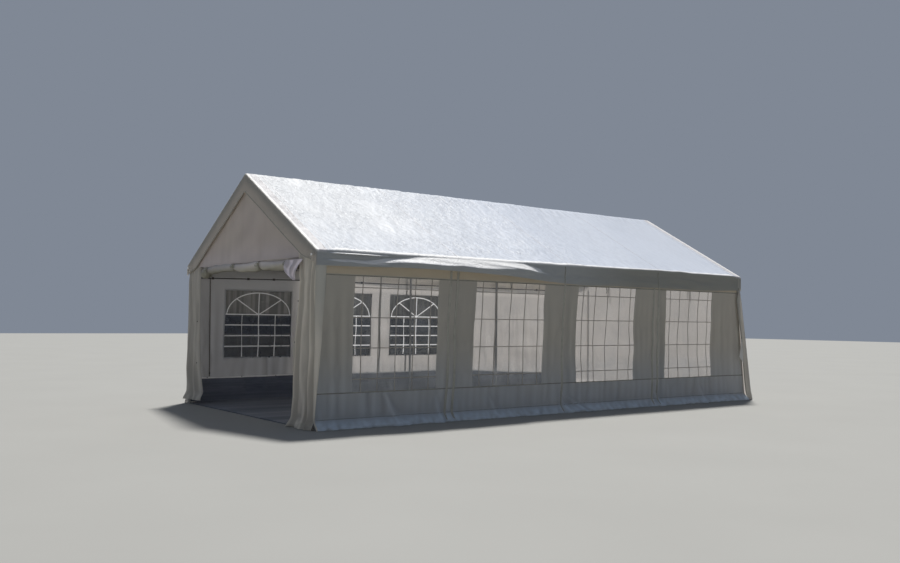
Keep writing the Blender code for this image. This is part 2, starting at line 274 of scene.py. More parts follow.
class Surface(NodeMaker):
    """The node tree of one material, with the textures that the finishes share."""

    def __init__(self, name: str) -> None:
        """Makes an empty material of that name."""
        self.material = bpy.data.materials.new(name)
        self.material.use_nodes = True
        super().__init__(self.material.node_tree)
        self.tree.nodes.clear()
        self.place = self.node("ShaderNodeTexCoord").out("Object")

    def mapped(self, scale: Sequence[float]) -> Signal:
        """The place on the object, scaled for a texture."""
        return self.node("ShaderNodeMapping", None, {"Vector": self.place, "Scale": scale}).out()

    def noise(self, where: Signal, scale: float, detail: float = 2.0, bend: float = 0.0) -> Signal:
        """Noise about 0.5 at where."""
        inputs = {"Vector": where, "Scale": scale, "Detail": detail, "Distortion": bend}
        return self.node("ShaderNodeTexNoise", None, inputs).out("Fac")

    def cells(self, where: Signal, scale: float) -> Signal:
        """How far each place lies from the edges of a net of cells."""
        inputs = {"Vector": where, "Scale": scale}
        return self.node("ShaderNodeTexVoronoi", {"feature": "DISTANCE_TO_EDGE"}, inputs).out("Distance")

    def blend(self, share: Signal, first: Colour | Signal, second: Colour | Signal) -> Signal:
        """A mix of two colours by share."""
        pair = [(*c, 1.0) if isinstance(c, tuple) else c for c in (first, second)]
        return self.node("ShaderNodeMix", {"data_type": "RGBA"}, {0: share, 6: pair[0], 7: pair[1]}).out(2)

    def axes(self) -> dict[str, Signal]:
        """X, Y and Z of the place, how far along and down the flat cloth it lies, and how it faces."""
        cloth = self.node("ShaderNodeUVMap", {"uv_map": "cloth"})
        sources = (self.place, cloth, self.node("ShaderNodeNewGeometry").out("Normal"))
        made, flat, way = (self.node("ShaderNodeSeparateXYZ", None, {0: source}) for source in sources)
        return {
            "x": made.out(0), "y": made.out(1), "z": made.out(2),
            "rightward": way.out(0), "upward": way.out(2),
            "along": abs(flat.out(1)), "run": abs(flat.out(0)),
        }

    def bump(self, height: Signal, depth: float) -> Signal:
        """A normal bent by height, where height 1 stands for depth in metres."""
        return self.node("ShaderNodeBump", None, {"Height": height, "Distance": depth}).out()

    def shaded(self, tone: Signal, share: float) -> Signal:
        """The tone with painted fold shading: painted shade in the cloth's valleys and painted highlight on
        its ridges, by up to share.
        """
        relief = self.node("ShaderNodeAttribute", {"attribute_name": "relief"}).out("Fac")
        sockets = {"Value": 1.0 - relief * share, "Color": tone}
        return self.node("ShaderNodeHueSaturation", None, sockets).out()

    def coat(
        self, inputs: dict, glow: Signal | float = 0.0, tone: Colour = (1.0, 1.0, 1.0)
    ) -> bpy.types.Material:
        """Finishes the material.

        Args:
            inputs: What goes into its main shader.
            glow: The share of light that passes through it.
            tone: That light's tone.

        Returns:
            The material.
        """
        shader = self.node("ShaderNodeBsdfPrincipled", None, inputs)
        if glow:
            through = self.node("ShaderNodeBsdfTranslucent", None, {"Color": (*tone, 1.0)})
            shader = self.node("ShaderNodeMixShader", None, {0: glow, 1: shader, 2: through})
        self.node("ShaderNodeOutputMaterial", None, {"Surface": shader})
        return self.material


@dataclass(frozen=True)
class Zone:
    """A tone or share of light that takes over along an axis from start to full, and along others too."""

    axis: str
    start: float
    full: float
    value: Colour | float
    also: tuple[tuple[str, float, float], ...] = ()

    def share(self, axes: dict[str, Signal]) -> Signal:
        """How far it has taken over at each place."""
        share = axes[self.axis].step(self.start, self.full)
        for axis, start, full in self.also:
            share = share * axes[axis].step(start, full)
        return share


@dataclass(frozen=True)
class ClothFinish:
    """Woven, coated tent sheeting that lets some light through.

    Attributes:
        name: The material's name.
        colour: Its main tone.
        shade: The tone of its mottling.
        glow_colour: The tone of the light that comes through.
        glow: How much light comes through.
        roughness: Its roughness.
        crinkle: Depth of the creases in metres.
        crinkle_scale: Creases to a metre.
        run: Squeezes the creases along X, Y and Z, so that they run one way.
        crisp: How sharp the small creases are; above 0 it also adds painted glints, light flecks on
            upward-facing places towards the front.
        soil_height: How high soil splashes reach.
        dim: Where another share of light comes through.
        relief: How strong the painted fold shading is: how much darker the valleys between folds are painted,
            and the ridges lighter.
        zones: Tones that take over in places.
    """

    name: str
    colour: Colour
    shade: Colour
    glow_colour: Colour
    glow: float = 0.4
    roughness: float = 0.55
    crinkle: float = 0.004
    crinkle_scale: float = 6.0
    run: Colour = (0.6, 1.0, 0.45)
    crisp: float = 0.0
    soil_height: float = 0.0
    dim: Zone | None = None
    relief: float = 0.28
    zones: tuple[Zone, ...] = ()

    def material(self) -> bpy.types.Material:
        """Builds the sheeting: mottled tone, zones, soil near the ground, painted fold shading, painted
        glints, weave and fold creases.
        """
        surface = Surface(self.name)
        axes = surface.axes()
        broad = surface.noise(surface.place, 0.7, 3.0)
        blotch = surface.noise(surface.place, 5.0, 4.0)
        tone = surface.blend((broad * 0.7 + blotch * 0.3).step(0.3, 0.7), self.colour, self.shade)
        for zone in self.zones:
            tone = surface.blend(zone.share(axes), tone, zone.value)
        if self.soil_height:
            splash = surface.noise(surface.mapped((3.0, 3.0, 9.0)), 4.0, 4.0).step(0.35, 0.75)
            soiled = axes["z"].step(self.soil_height, 0.0) * splash * 0.35
            tone = surface.blend(soiled, tone, (0.2, 0.2, 0.13))
        # Painted fold shading: painted shade in the valleys between folds and painted highlight on their
        # ridges.
        tone = surface.shaded(tone, self.relief)
        patch = surface.noise(surface.place, 2.2, 2.0)
        if self.crisp:
            # Painted glints: light flecks on upward-facing places of the cover towards the front.
            painted_glint = surface.noise(surface.mapped((0.45, 1.3, 0.45)), 26.0, 2.0, 0.6).step(0.56, 0.66)
            painted_glint = painted_glint * patch.step(0.4, 0.62) * axes["y"].step(1.6, -1.6) * axes["along"].step(3.94, 3.9)
            tone = surface.blend(painted_glint * axes["upward"].step(0.7, 0.8), tone, (0.86, 0.89, 0.94))
        inputs = {
            "Base Color": tone,
            "Roughness": patch * 0.16 + (self.roughness - 0.08),
            "Specular IOR Level": 0.35,
            "Normal": surface.bump(self.creases(surface, axes, patch), self.crinkle),
        }
        glow = self.glow
        # Where the dim zone takes over, another share of light comes through; on the sunny wall cloth it is
        # less, a painted shadow.
        if self.dim:
            glow = glow - self.dim.share(axes) * (glow - self.dim.value)
        return surface.coat(inputs, glow, self.glow_colour)

    def creases(self, surface: Surface, axes: dict[str, Signal], patch: Signal) -> Signal:
        """The height of the creases and of the weave."""
        slanted = surface.mapped(self.run)
        long_crease = surface.noise(slanted, self.crinkle_scale, 3.0, 0.8)
        net = surface.cells(surface.place, self.crinkle_scale * 0.9).step(0.0, 0.12)
        small = surface.noise(slanted, self.crinkle_scale * 4.0, 2.0, 0.3)
        weave = ((axes["y"] * 2200.0).wave() + (axes["z"] * 2200.0).wave()) * 0.25
        height = long_crease + net * 0.12 + small * 0.35 + weave * 0.02
        if not self.crisp:
            return height
        sharp = abs(surface.noise(slanted, self.crinkle_scale * 2.2, 2.0, 0.7) - 0.5)
        fleck = abs(surface.noise(surface.place, self.crinkle_scale * 3.4, 1.0, 0.4) - 0.5)
        calm = axes["y"].step(3.0, -2.0) * 0.8 + 0.2
        return (height + (sharp + fleck * 0.4) * (patch.step(0.3, 0.62) * self.crisp)) * calm


@dataclass(frozen=True)
class FilmFinish:
    """Clear or smoked window film with faint ripples and handling haze."""

    name: str
    colour: Colour
    cover: float
    roughness: float = 0.08
    upper: Colour | None = None
    low_haze: float = 0.0

    def material(self) -> bpy.types.Material:
        """Builds the film: see-through, glossy, hazier in patches and towards the foot, with a lighter,
        streaked upper part of painted light where asked.
        """
        surface = Surface(self.name)
        haze = surface.noise(surface.place, 3.0, 4.0).step(0.4, 0.75)
        tone = surface.blend(haze, self.colour, tuple(min(1.0, c * 1.3 + 0.02) for c in self.colour))
        # Painted light: a lighter, streaked upper part for the brighter view through the film.
        if self.upper:
            drift = surface.noise(surface.mapped((1.0, 3.0, 0.2)), 3.0, 2.0) - 0.5
            tall = surface.axes()["z"] + drift * 0.1
            band = surface.noise(surface.mapped((1.0, 6.0, 0.15)), 3.0, 2.0).step(0.36, 0.62)
            dark = tuple(c * 0.6 for c in self.upper)
            tone = surface.blend(tall.step(1.26, 1.36), tone, surface.blend(band, self.upper, dark))
        scuff = surface.noise(surface.mapped((1.0, 1.0, 0.15)), 22.0, 3.0).step(0.5, 0.8)
        ripple = surface.noise(surface.mapped((1.0, 1.0, 0.5)), 7.0, 2.0)
        alpha = haze * 0.05 + scuff * 0.03 + self.cover
        if self.low_haze:
            alpha = alpha + surface.axes()["z"].step(0.8, 0.6) * self.low_haze
        inputs = {
            "Base Color": tone,
            "Roughness": haze * 0.1 + scuff * 0.06 + self.roughness,
            "Alpha": alpha,
            "Normal": surface.bump(ripple, 0.004),
        }
        return surface.coat(inputs)


@dataclass(frozen=True)
class MetalFinish:
    """Galvanised steel tube: spangled, a little streaked and scuffed."""

    name: str
    colour: Colour
    roughness: float = 0.42

    def material(self) -> bpy.types.Material:
        """Builds the steel."""
        surface = Surface(self.name)
        sockets = {"Vector": surface.place, "Scale": 90.0}
        spangle = surface.node("ShaderNodeTexVoronoi", None, sockets).out("Color")
        tint = surface.node("ShaderNodeRGBToBW", None, {0: spangle}).out()
        streak = surface.noise(surface.mapped((14.0, 14.0, 1.2)), 3.0, 4.0)
        dull = surface.noise(surface.place, 18.0, 3.0).step(0.45, 0.7)
        pale = tuple(min(1.0, c * 1.25) for c in self.colour)
        dark = tuple(c * 0.72 for c in self.colour)
        inputs = {
            "Base Color": surface.blend(streak.step(0.35, 0.7) * 0.6 + tint * 0.4, dark, pale),
            "Metallic": 0.75 - dull * 0.25,
            "Roughness": dull * 0.18 + streak * 0.1 + (self.roughness - 0.1),
            "Normal": surface.bump(tint + streak * 0.5, 0.0004),
        }
        return surface.coat(inputs)


@dataclass(frozen=True)
class MattingFinish:
    """Dark ribbed floor matting, dusty along its ribs."""

    name: str
    colour: Colour
    dust: Colour
    strip_width: float = 0.328

    def material(self) -> bpy.types.Material:
        """Builds the matting, each strip in a tone of its own."""
        surface = Surface(self.name)
        strip = surface.noise(surface.mapped((1.0 / self.strip_width, 0.12, 3.0)), 1.0, 1.0)
        streak = surface.noise(surface.mapped((22.0, 0.4, 22.0)), 1.5, 4.0)
        grit = surface.noise(surface.place, 130.0, 3.0)
        dusty = (strip * 0.5 + streak * 0.6 + grit * 0.2).step(0.45, 0.95)
        inputs = {
            "Base Color": surface.blend(dusty, self.colour, self.dust),
            "Roughness": grit * 0.2 + 0.55,
            "Normal": surface.bump(grit + streak, 0.0012),
        }
        return surface.coat(inputs)


@dataclass(frozen=True)
class PlainFinish:
    """Moulded plastic, cord, webbing or thread."""

    name: str
    colour: Colour
    roughness: float = 0.4
    grain: float = 120.0
    grain_depth: float = 0.0004
    glow: float = 0.0
    lit: float = 0.0

    def material(self) -> bpy.types.Material:
        """Builds the finish. A tape can also get an emission on its faces that look towards +X: a painted
        glow standing in for sunlight that it passes on.
        """
        surface = Surface(self.name)
        grain = surface.noise(surface.place, self.grain, 3.0)
        wear = surface.noise(surface.place, self.grain * 0.12, 3.0).step(0.4, 0.8)
        dark = tuple(c * 0.7 for c in self.colour)
        inputs = {
            "Base Color": surface.blend(wear * 0.6 + grain * 0.3, self.colour, dark),
            "Roughness": grain * 0.15 + wear * 0.1 + (self.roughness - 0.1),
            "Normal": surface.bump(grain, self.grain_depth),
        }
        # Painted glow: an emission on the faces that look towards +X.
        if self.lit:
            inner = surface.axes()["rightward"].step(0.0, 0.5)
            inputs["Emission Color"] = surface.blend(inner, (0.0, 0.0, 0.0), self.colour)
            inputs["Emission Strength"] = self.lit
        return surface.coat(inputs, self.glow, self.colour)


COVER_CLOTH = ClothFinish(
    "cover_cloth", (0.69, 0.715, 0.75), (0.64, 0.67, 0.72), (0.84, 0.82, 0.78), 0.36, 0.55, 0.008, 9.0,
    (0.75, 1.0, 0.75), crisp=2.6, dim=Zone("x", -1.95, -1.99, 0.8), relief=0.18,
    zones=(
        # Painted shade: darker and bluer down each slope and towards the rear.
        Zone("run", 0.9, 2.1, (0.6, 0.64, 0.71)),
        Zone("y", -4.2, 0.8, (0.56, 0.615, 0.725)),
        # Painted highlight: lighter on the eave and the valance; painted shade darkens where the valance
        # faces sideways or down, more towards the rear.
        Zone("run", 2.2, 2.23, (0.9, 0.91, 0.93), (("along", 3.85, 3.7),)),
        Zone("upward", 0.44, 0.2, (0.42, 0.445, 0.46), (("z", 2.06, 2.02),)),
        Zone("upward", 0.44, 0.2, (0.325, 0.33, 0.305), (("y", -0.4, 1.6),)),
        # A darker lilac strip by the gable edges; painted highlight on the rounded gable edge and painted
        # shade just under it; painted shade makes the gable bands darker and warmer, darkest at the top.
        Zone("along", 3.85, 3.87, (0.63, 0.625, 0.655), (("z", 2.0, 2.04),)),
        Zone("along", 3.95, 3.965, (0.94, 0.94, 0.94), (("z", 2.0, 2.04),)),
        Zone("along", 3.975, 4.005, (0.4, 0.385, 0.35)),
        Zone("along", 4.03, 4.16, (0.61, 0.555, 0.49)),
    ),
)
WALL_CLOTH = ClothFinish(
    "wall_cloth", (0.5, 0.485, 0.43), (0.45, 0.435, 0.39), (0.86, 0.82, 0.77), 0.45,
    soil_height=0.1, relief=0.2,
    zones=(
        # Painted sky light: bluer towards the foot, and lighter and bluer still on the skirt; painted light
        # makes the strip above the windows warmer and lighter.
        Zone("z", 1.1, 0.05, (0.44, 0.49, 0.54)),
        Zone("z", 0.15, 0.06, (0.58, 0.68, 0.79)),
        Zone("z", 1.77, 1.785, (0.62, 0.54, 0.4)),
    ),
)
SUNNY_CLOTH = ClothFinish(
    "sunny_wall_cloth", (0.5, 0.485, 0.45), (0.45, 0.435, 0.4), (0.93, 0.9, 0.88), 0.62,
    # Painted shadow on the inner face of the front part: less light comes through and the tone is darker and
    # bluer. Painted shade darkens the top of that inner face; painted light brightens a strip under the eave
    # further back.
    dim=Zone("y", -1.95, -2.4, 0.23, (("rightward", -0.1, 0.2),)),
    zones=(
        Zone("y", -1.95, -2.4, (0.46, 0.475, 0.5), (("rightward", -0.1, 0.2),)),
        Zone("z", 1.855, 1.875, (0.38, 0.385, 0.385), (("y", -1.6, -2.2), ("rightward", -0.1, 0.2))),
        Zone("z", 1.7, 1.76, (0.86, 0.82, 0.76), (("y", -2.2, -1.6), ("rightward", 0.2, 0.5))),
    ),
)
GABLE_CLOTH = ClothFinish(
    "gable_cloth", (0.68, 0.63, 0.57), (0.65, 0.58, 0.55), (0.84, 0.77, 0.7), 0.4,
    run=(1.0, 0.6, 0.4), relief=0.2,
    zones=(Zone("z", 2.3, 2.0, (0.66, 0.61, 0.615)),),
)
DRAPE_CLOTH = ClothFinish(
    "drape_cloth", (0.73, 0.69, 0.605), (0.65, 0.61, 0.54), (0.86, 0.8, 0.7), 0.32,
    run=(1.0, 0.6, 0.3), soil_height=0.2, relief=0.22,
    zones=(
        # Painted shadow makes the left drape darker; the upper part of the strip turned on to the long wall
        # is darker too.
        Zone("x", 0.5, -0.5, (0.49, 0.47, 0.43)),
        Zone("z", 0.9, 1.6, (0.5, 0.495, 0.45), (("x", 1.968, 1.974),)),
    ),
)
ROLL_CLOTH = ClothFinish(
    "roll_cloth", (0.37, 0.35, 0.345), (0.32, 0.3, 0.29), (0.8, 0.76, 0.66), 0.1, 0.5, 0.005, 9.0,
    (0.5, 1.0, 1.0),
    zones=(
        # Lighter towards +X; painted shade darkens the underside of the roll, most towards -X.
        Zone("x", -0.9, 0.2, (0.53, 0.49, 0.47)),
        Zone("z", 1.965, 1.885, (0.21, 0.2, 0.16), (("x", 0.0, -0.6),)),
        Zone("z", 1.95, 1.87, (0.34, 0.32, 0.26), (("x", -0.6, 0.0),)),
    ),
)
CORNER_CLOTH = ClothFinish("corner_cloth", (0.88, 0.83, 0.88), (0.84, 0.79, 0.83), (0.9, 0.86, 0.9), 0.4)
RETURN_CLOTH = ClothFinish("return_cloth", (0.47, 0.455, 0.42), (0.42, 0.405, 0.37), (0.88, 0.85, 0.8), 0.4)
# Painted light: a whiter, more translucent copy of the wall cloth for the flap in the sun.
FLAP_CLOTH = ClothFinish("flap_cloth", (0.95, 0.95, 0.95), (0.9, 0.9, 0.9), (0.95, 0.95, 0.93), 0.75)
CLEAR_FILM = FilmFinish("clear_film", (0.75, 0.77, 0.77), 0.07, low_haze=0.11)
# The smoked film's dark tone is partly a smoke tint and partly painted shade for the shaded view through it;
# its lighter, streaked upper part is painted light.
SMOKED_FILM = FilmFinish("smoked_film", (0.045, 0.052, 0.07), 0.84, 0.12, (0.4, 0.385, 0.355))
STEEL = MetalFinish("galvanised_steel", (0.36, 0.355, 0.35))
MATTING = MattingFinish("matting", (0.062, 0.075, 0.106), (0.235, 0.25, 0.285))
UPSTAND = MattingFinish("matting_upstand", (0.085, 0.1, 0.14), (0.2, 0.21, 0.25))
SEAM_TAPE = PlainFinish("seam_tape", (0.25, 0.24, 0.2), 0.6)
POCKET_TAPE = PlainFinish("pocket_tape", (0.37, 0.355, 0.305), 0.7)
COVER_SEAM = PlainFinish("cover_seam", (0.56, 0.54, 0.555), 0.6)
TIE_WEBBING = PlainFinish("tie_webbing", (0.4, 0.385, 0.3), 0.8, 400.0, 0.0006)
ZIP_TAPE = PlainFinish("zip_tape", (0.42, 0.4, 0.36), 0.8, 500.0, 0.0004)
BRIGHT_STEEL = MetalFinish("bright_steel", (0.6, 0.6, 0.6), 0.28)
PANE_TAPE = PlainFinish("pane_tape", (0.34, 0.31, 0.27), 0.5)
# These tapes get a painted glow on their faces that look towards +X: weak for tapes in shade, strong for
# tapes in sunlight.
WHITE_TAPE = PlainFinish("white_tape", (0.9, 0.89, 0.88), 0.5, glow=0.3, lit=0.13)
SUN_TAPE = PlainFinish("sun_tape", (0.9, 0.89, 0.88), 0.5, glow=0.3, lit=0.85)
EDGE_TAPE = PlainFinish("edge_tape", (0.85, 0.84, 0.83), 0.5, glow=0.3, lit=0.06)
DARK_TAPE = PlainFinish("dark_tape", (0.06, 0.06, 0.065), 0.7)
DARK_PLASTIC = PlainFinish("dark_plastic", (0.05, 0.045, 0.04), 0.45)
WHITE_PLASTIC = PlainFinish("white_plastic", (0.84, 0.84, 0.82), 0.3)


class Paints:
    """The materials, each built once."""

    def __init__(self) -> None:
        """Starts with none."""
        self.built: dict[str, bpy.types.Material] = {}

    def of(self, finish: object) -> bpy.types.Material:
        """The material of a finish."""
        if finish.name not in self.built:
            self.built[finish.name] = finish.material()
        return self.built[finish.name]


PAINTS = Paints()


def link(name: str, mesh: bpy.types.Mesh, finish: object) -> bpy.types.Object:
    """Puts a mesh in the scene under that name and finish."""
    mesh.name = name
    mesh.materials.clear()
    mesh.materials.append(PAINTS.of(finish))
    piece = bpy.data.objects.new(name, mesh)
    bpy.context.scene.collection.objects.link(piece)
    return piece


def evaluated_mesh(piece: bpy.types.Object) -> bpy.types.Mesh:
    """A plain mesh of the piece as its modifiers leave it."""
    bpy.context.view_layer.update()
    depsgraph = bpy.context.evaluated_depsgraph_get()
    return bpy.data.meshes.new_from_object(piece.evaluated_get(depsgraph))


def soften(mesh: bpy.types.Mesh, angle: float = 48.0) -> None:
    """Shades the mesh smooth, with its edges over angle degrees sharp."""
    mesh.shade_smooth()
    mesh.set_sharp_from_angle(angle=math.radians(angle))


def settle(piece: bpy.types.Object, slot: str, stands_for: Sequence[str] = ()) -> bpy.types.Object:
    """Makes the piece part of the tent.

    Args:
        piece: The finished piece, in place.
        slot: The record's material slot; not used.
        stands_for: The solids that it replaces.

    Returns:
        The piece.
    """
    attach(piece, BODY)
    if stands_for:
        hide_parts(*stands_for)
    LOG.info("%s: %d faces", piece.name, len(piece.data.polygons))
    return piece


@dataclass
class ClothSheet:
    """A sheet of cloth on a grid, bent to its place and given its thickness.

    Attributes:
        name: The piece's name.
        lines_u: Grid lines along the cloth's first side, in metres.
        lines_v: Grid lines along its second side.
        place: Gives X, Y and Z for arrays of u and v.
        finish: The cloth's finish.
        thickness: Thickness away from the hems.
        keep: Says which grid cells are cloth, by their middles.
        hem: Says how far each point is hemmed, from 0 to 1.
        hem_thickness: Thickness on a full hem.
        outward: 1 where u turned to v faces outwards, -1 where it faces inwards.
    """

    name: str
    lines_u: Array
    lines_v: Array
    place: Callable[[Array, Array], Places]
    finish: object
    thickness: float = 0.002
    keep: Callable[[Array, Array], Array] | None = None
    hem: Callable[[Array, Array], Array] | None = None
    hem_thickness: float = 0.0045
    outward: int = 1

    def build(self) -> bpy.types.Object:
        """Makes the sheet as a closed thin shell."""
        grid_u, grid_v = np.meshgrid(self.lines_u, self.lines_v, indexing="ij")
        count_v = len(self.lines_v)
        points = np.stack([np.broadcast_to(a, grid_u.shape) for a in self.place(grid_u, grid_v)], axis=-1)
        middle_u = (grid_u[:-1, :-1] + grid_u[1:, 1:]) / 2
        middle_v = (grid_v[:-1, :-1] + grid_v[1:, 1:]) / 2
        kept = np.ones(middle_u.shape, bool) if self.keep is None else self.keep(middle_u, middle_v)
        rows, columns = np.nonzero(kept)
        corner = rows * count_v + columns
        quads = np.stack([corner, corner + count_v, corner + count_v + 1, corner + 1], axis=-1)
        if self.outward < 0:
            quads = quads[:, ::-1]
        used, quads = np.unique(quads, return_inverse=True)
        quads = quads.reshape(-1, 4)
        mesh = bpy.data.meshes.new(self.name)
        mesh.from_pydata(points.reshape(-1, 3)[used].tolist(), [], quads.tolist())
        layer = mesh.uv_layers.new(name="cloth")
        flat = np.stack([grid_u.ravel()[used], grid_v.ravel()[used]], axis=-1)
        layer.data.foreach_set("uv", flat[quads.ravel()].ravel().astype(np.float32))
        # Fold depth of each point, kept for the material's painted fold shading.
        relief = mesh.attributes.new("relief", "FLOAT", "POINT")
        relief.data.foreach_set("value", self._relief(points).ravel()[used].astype(np.float32))
        piece = link(self.name, mesh, self.finish)
        self._thicken(piece, flat)
        shell = evaluated_mesh(piece)
        piece.modifiers.clear()
        piece.data = shell
        bpy.data.meshes.remove(mesh)
        shell.name = self.name
        soften(shell)
        return piece

    def fit(
        self,
        flat: Sequence[float] | None = None,
        area: float | None = None,
        slot: str = "wall_cloth",
        stands_for: Sequence[str] = (),
    ) -> None:
        """Makes the sheet a part of the tent.

        Args:
            flat: The flat cloth's sides, or None where they are the grid's own; not used.
            area: The cut cloth's area, or None where nothing is cut away; not used.
            slot: The record's material slot.
            stands_for: The solids that it replaces.
        """
        piece = settle(self.build(), slot, stands_for)

    def _relief(self, points: Array, reach: float = 0.05) -> Array:
        """How deep each grid point lies in a fold: 1 in a deep valley, -1 on a high ridge.

        Args:
            points: The grid's points.
            reach: How far round each point its neighbours are read, in metres.

        Returns:
            One value for each point.
        """
        sink = np.zeros(points.shape)
        for axis in (0, 1):
            gap = float(np.linalg.norm(np.diff(points, axis=axis), axis=-1).mean())
            count = int(np.clip(round(reach / max(gap, 1e-6)), 1, points.shape[axis] - 1))
            edges = [(count, count) if a == axis else (0, 0) for a in range(3)]
            padded = np.pad(points, edges, mode="reflect", reflect_type="odd")
            steps = (-count, -(count // 2), count // 2, count)
            spots = [np.arange(points.shape[axis]) + count + step for step in steps]
            sink += sum(np.take(padded, spot, axis=axis) for spot in spots) / 4 - points
        normal = np.cross(np.gradient(points, axis=0), np.gradient(points, axis=1)) * self.outward
        length = np.maximum(np.linalg.norm(normal, axis=-1), 1e-9)
        return np.tanh((sink * normal).sum(axis=-1) / length / 0.0045)

    def _thicken(self, piece: bpy.types.Object, flat: Array) -> None:
        """Adds the cloth's thickness, more on its hems."""
        shell = piece.modifiers.new("thickness", "SOLIDIFY")
        shell.offset = 0.0
        shell.thickness = self.thickness
        if self.hem is None:
            return
        shell.thickness = self.hem_thickness
        least = self.thickness / self.hem_thickness
        group = piece.vertex_groups.new(name="hem")
        weights = np.round(least + (1 - least) * self.hem(flat[:, 0], flat[:, 1]), 3)
        for weight in np.unique(weights):
            group.add(np.nonzero(weights == weight)[0].tolist(), float(weight), "REPLACE")
        shell.vertex_group = group.name


@dataclass
class Path:
    """A line through points, with the way that each faces."""

    points: Array
    facing: Array
    closed: bool = False

    @classmethod
    def of(cls, places: Sequence[Array | float], facing: Sequence[float], lift: float = 0.0) -> "Path":
        """A path through places that are given axis by axis.

        Args:
            places: X, Y and Z of its points.
            facing: The one way that they face.
            lift: How far the path is moved that way.

        Returns:
            The path.
        """
        way = np.array(facing, float)
        return cls(np.stack(np.broadcast_arrays(*places), axis=-1) + way * lift, way)


def path_mesh(paths: Iterable[Path]) -> bpy.types.Mesh:
    """The paths as loose edges, with each point's facing kept as an attribute."""
    points, facings, edges = [], [], []
    for path in paths:
        start, count = len(points), len(path.points)
        points += np.asarray(path.points, float).tolist()
        facings += np.broadcast_to(path.facing, (count, 3)).tolist()
        edges += [(start + i, start + i + 1) for i in range(count - 1)]
        if path.closed:
            edges.append((start + count - 1, start))
    mesh = bpy.data.meshes.new("paths")
    mesh.from_pydata(points, edges, [])
    attribute = mesh.attributes.new("facing", "FLOAT_VECTOR", "POINT")
    attribute.data.foreach_set("vector", np.array(facings, np.float32).ravel())
    return mesh


class ShapeTree:
    """A Geometry Nodes tree with named inputs, and the plain mesh that it makes."""

    TITLE = "shape"
    SOCKETS: dict[str, str] = {}

    def __init__(self) -> None:
        """Builds the tree once."""
        self.group = bpy.data.node_groups.new(self.TITLE, "GeometryNodeTree")
        self.node = NodeMaker(self.group).node
        socket = self.group.interface.new_socket
        socket("Geometry", in_out="OUTPUT", socket_type="NodeSocketGeometry")
        socket("Geometry", in_out="INPUT", socket_type="NodeSocketGeometry")
        kinds = {**self.SOCKETS, "Material": "NodeSocketMaterial"}
        made = {name: socket(name, in_out="INPUT", socket_type=kind) for name, kind in kinds.items()}
        self.ids = {name: item.identifier for name, item in made.items()}
        self.given = self.node("NodeGroupInput").out
        whole = self.node("GeometryNodeRealizeInstances", None, {0: self.grow()})
        painted = self.node("GeometryNodeSetMaterial", None, {0: whole, "Material": self.given("Material")})
        self.node("NodeGroupOutput", None, {0: painted})

    def grow(self) -> Made:
        """Makes the nodes of the shape itself."""
        raise NotImplementedError

    def curves(self) -> Made:
        """The base mesh's edges as curves."""
        return self.node("GeometryNodeMeshToCurve", None, {0: self.given("Geometry")})

    def facing(self) -> Made:
        """The way that each point of a path faces."""
        return self.node("GeometryNodeInputNamedAttribute", {"data_type": "FLOAT_VECTOR"}, {"Name": "facing"})

    def swept(self, path: Made, section: Made) -> Made:
        """The section swept along the path, with closed ends."""
        sockets = {"Curve": path, "Profile Curve": section, "Fill Caps": True}
        return self.node("GeometryNodeCurveToMesh", None, sockets)

    def outward(self) -> Made:
        """The turn that brings a small shape's Z to where its point faces."""
        return self.node("FunctionNodeAlignRotationToVector", {"axis": "Z"}, {"Vector": self.facing()})

    def placed(self, points: Made, turn: Made) -> Made:
        """The small shape, turned, on each point."""
        shape = self.node("GeometryNodeObjectInfo", None, {"Object": self.given("Shape")}).out("Geometry")
        sockets = {"Points": points, "Instance": shape, "Rotation": turn}
        return self.node("GeometryNodeInstanceOnPoints", None, sockets)

    def mesh(self, name: str, base: bpy.types.Mesh, finish: object, **values: object) -> bpy.types.Object:
        """Runs the tree on a base mesh and gives back a plain piece.

        Args:
            name: The piece's name.
            base: The mesh that the tree starts from.
            finish: The finish that it sets.
            **values: A value for each of the tree's inputs.

        Returns:
            The piece, without a modifier.
        """
        holder = bpy.data.objects.new(name, base)
        bpy.context.scene.collection.objects.link(holder)
        modifier = holder.modifiers.new("shape", "NODES")
        modifier.node_group = self.group
        for key, value in {**values, "Material": PAINTS.of(finish)}.items():
            modifier[self.ids[key]] = value
        result = evaluated_mesh(holder)
        holder.modifiers.clear()
        bpy.data.objects.remove(holder)
        bpy.data.meshes.remove(base)
        soften(result, 40.0)
        return link(name, result, finish)

    def lay(
        self, name: str, paths: Iterable[Path], finish: object, slot: str = "wall_cloth", **values: object
    ) -> None:
        """Makes a piece along paths a part of the tent.

        Args:
            name: The piece's name.
            paths: The paths that it follows.
            finish: Its finish.
            slot: The record's material slot.
            **values: A value for each of the tree's inputs.
        """
        settle(self.mesh(name, path_mesh(paths), finish, **values), slot)


class TapeTree(ShapeTree):
    """A flat tape along each path, facing the way that the path's points say."""

    TITLE = "tape_along_paths"
    SOCKETS = {"Width": "NodeSocketFloat", "Thickness": "NodeSocketFloat"}

    def grow(self) -> Made:
        """Sweeps a flat section along the paths."""
        sockets = {"Curve": self.curves(), "Normal": self.facing()}
        turned = self.node("GeometryNodeSetCurveNormal", {"mode": "FREE"}, sockets)
        sockets = {"Width": self.given("Thickness"), "Height": self.given("Width")}
        return self.swept(turned, self.node("GeometryNodeCurvePrimitiveQuadrilateral", None, sockets))


class CordTree(ShapeTree):
    """A round cord along each path."""

    TITLE = "cord_along_paths"
    SOCKETS = {"Radius": "NodeSocketFloat", "Sides": "NodeSocketInt"}

    def grow(self) -> Made:
        """Sweeps a round section along the paths."""
        sockets = {"Resolution": self.given("Sides"), "Radius": self.given("Radius")}
        return self.swept(self.curves(), self.node("GeometryNodeCurvePrimitiveCircle", None, sockets))


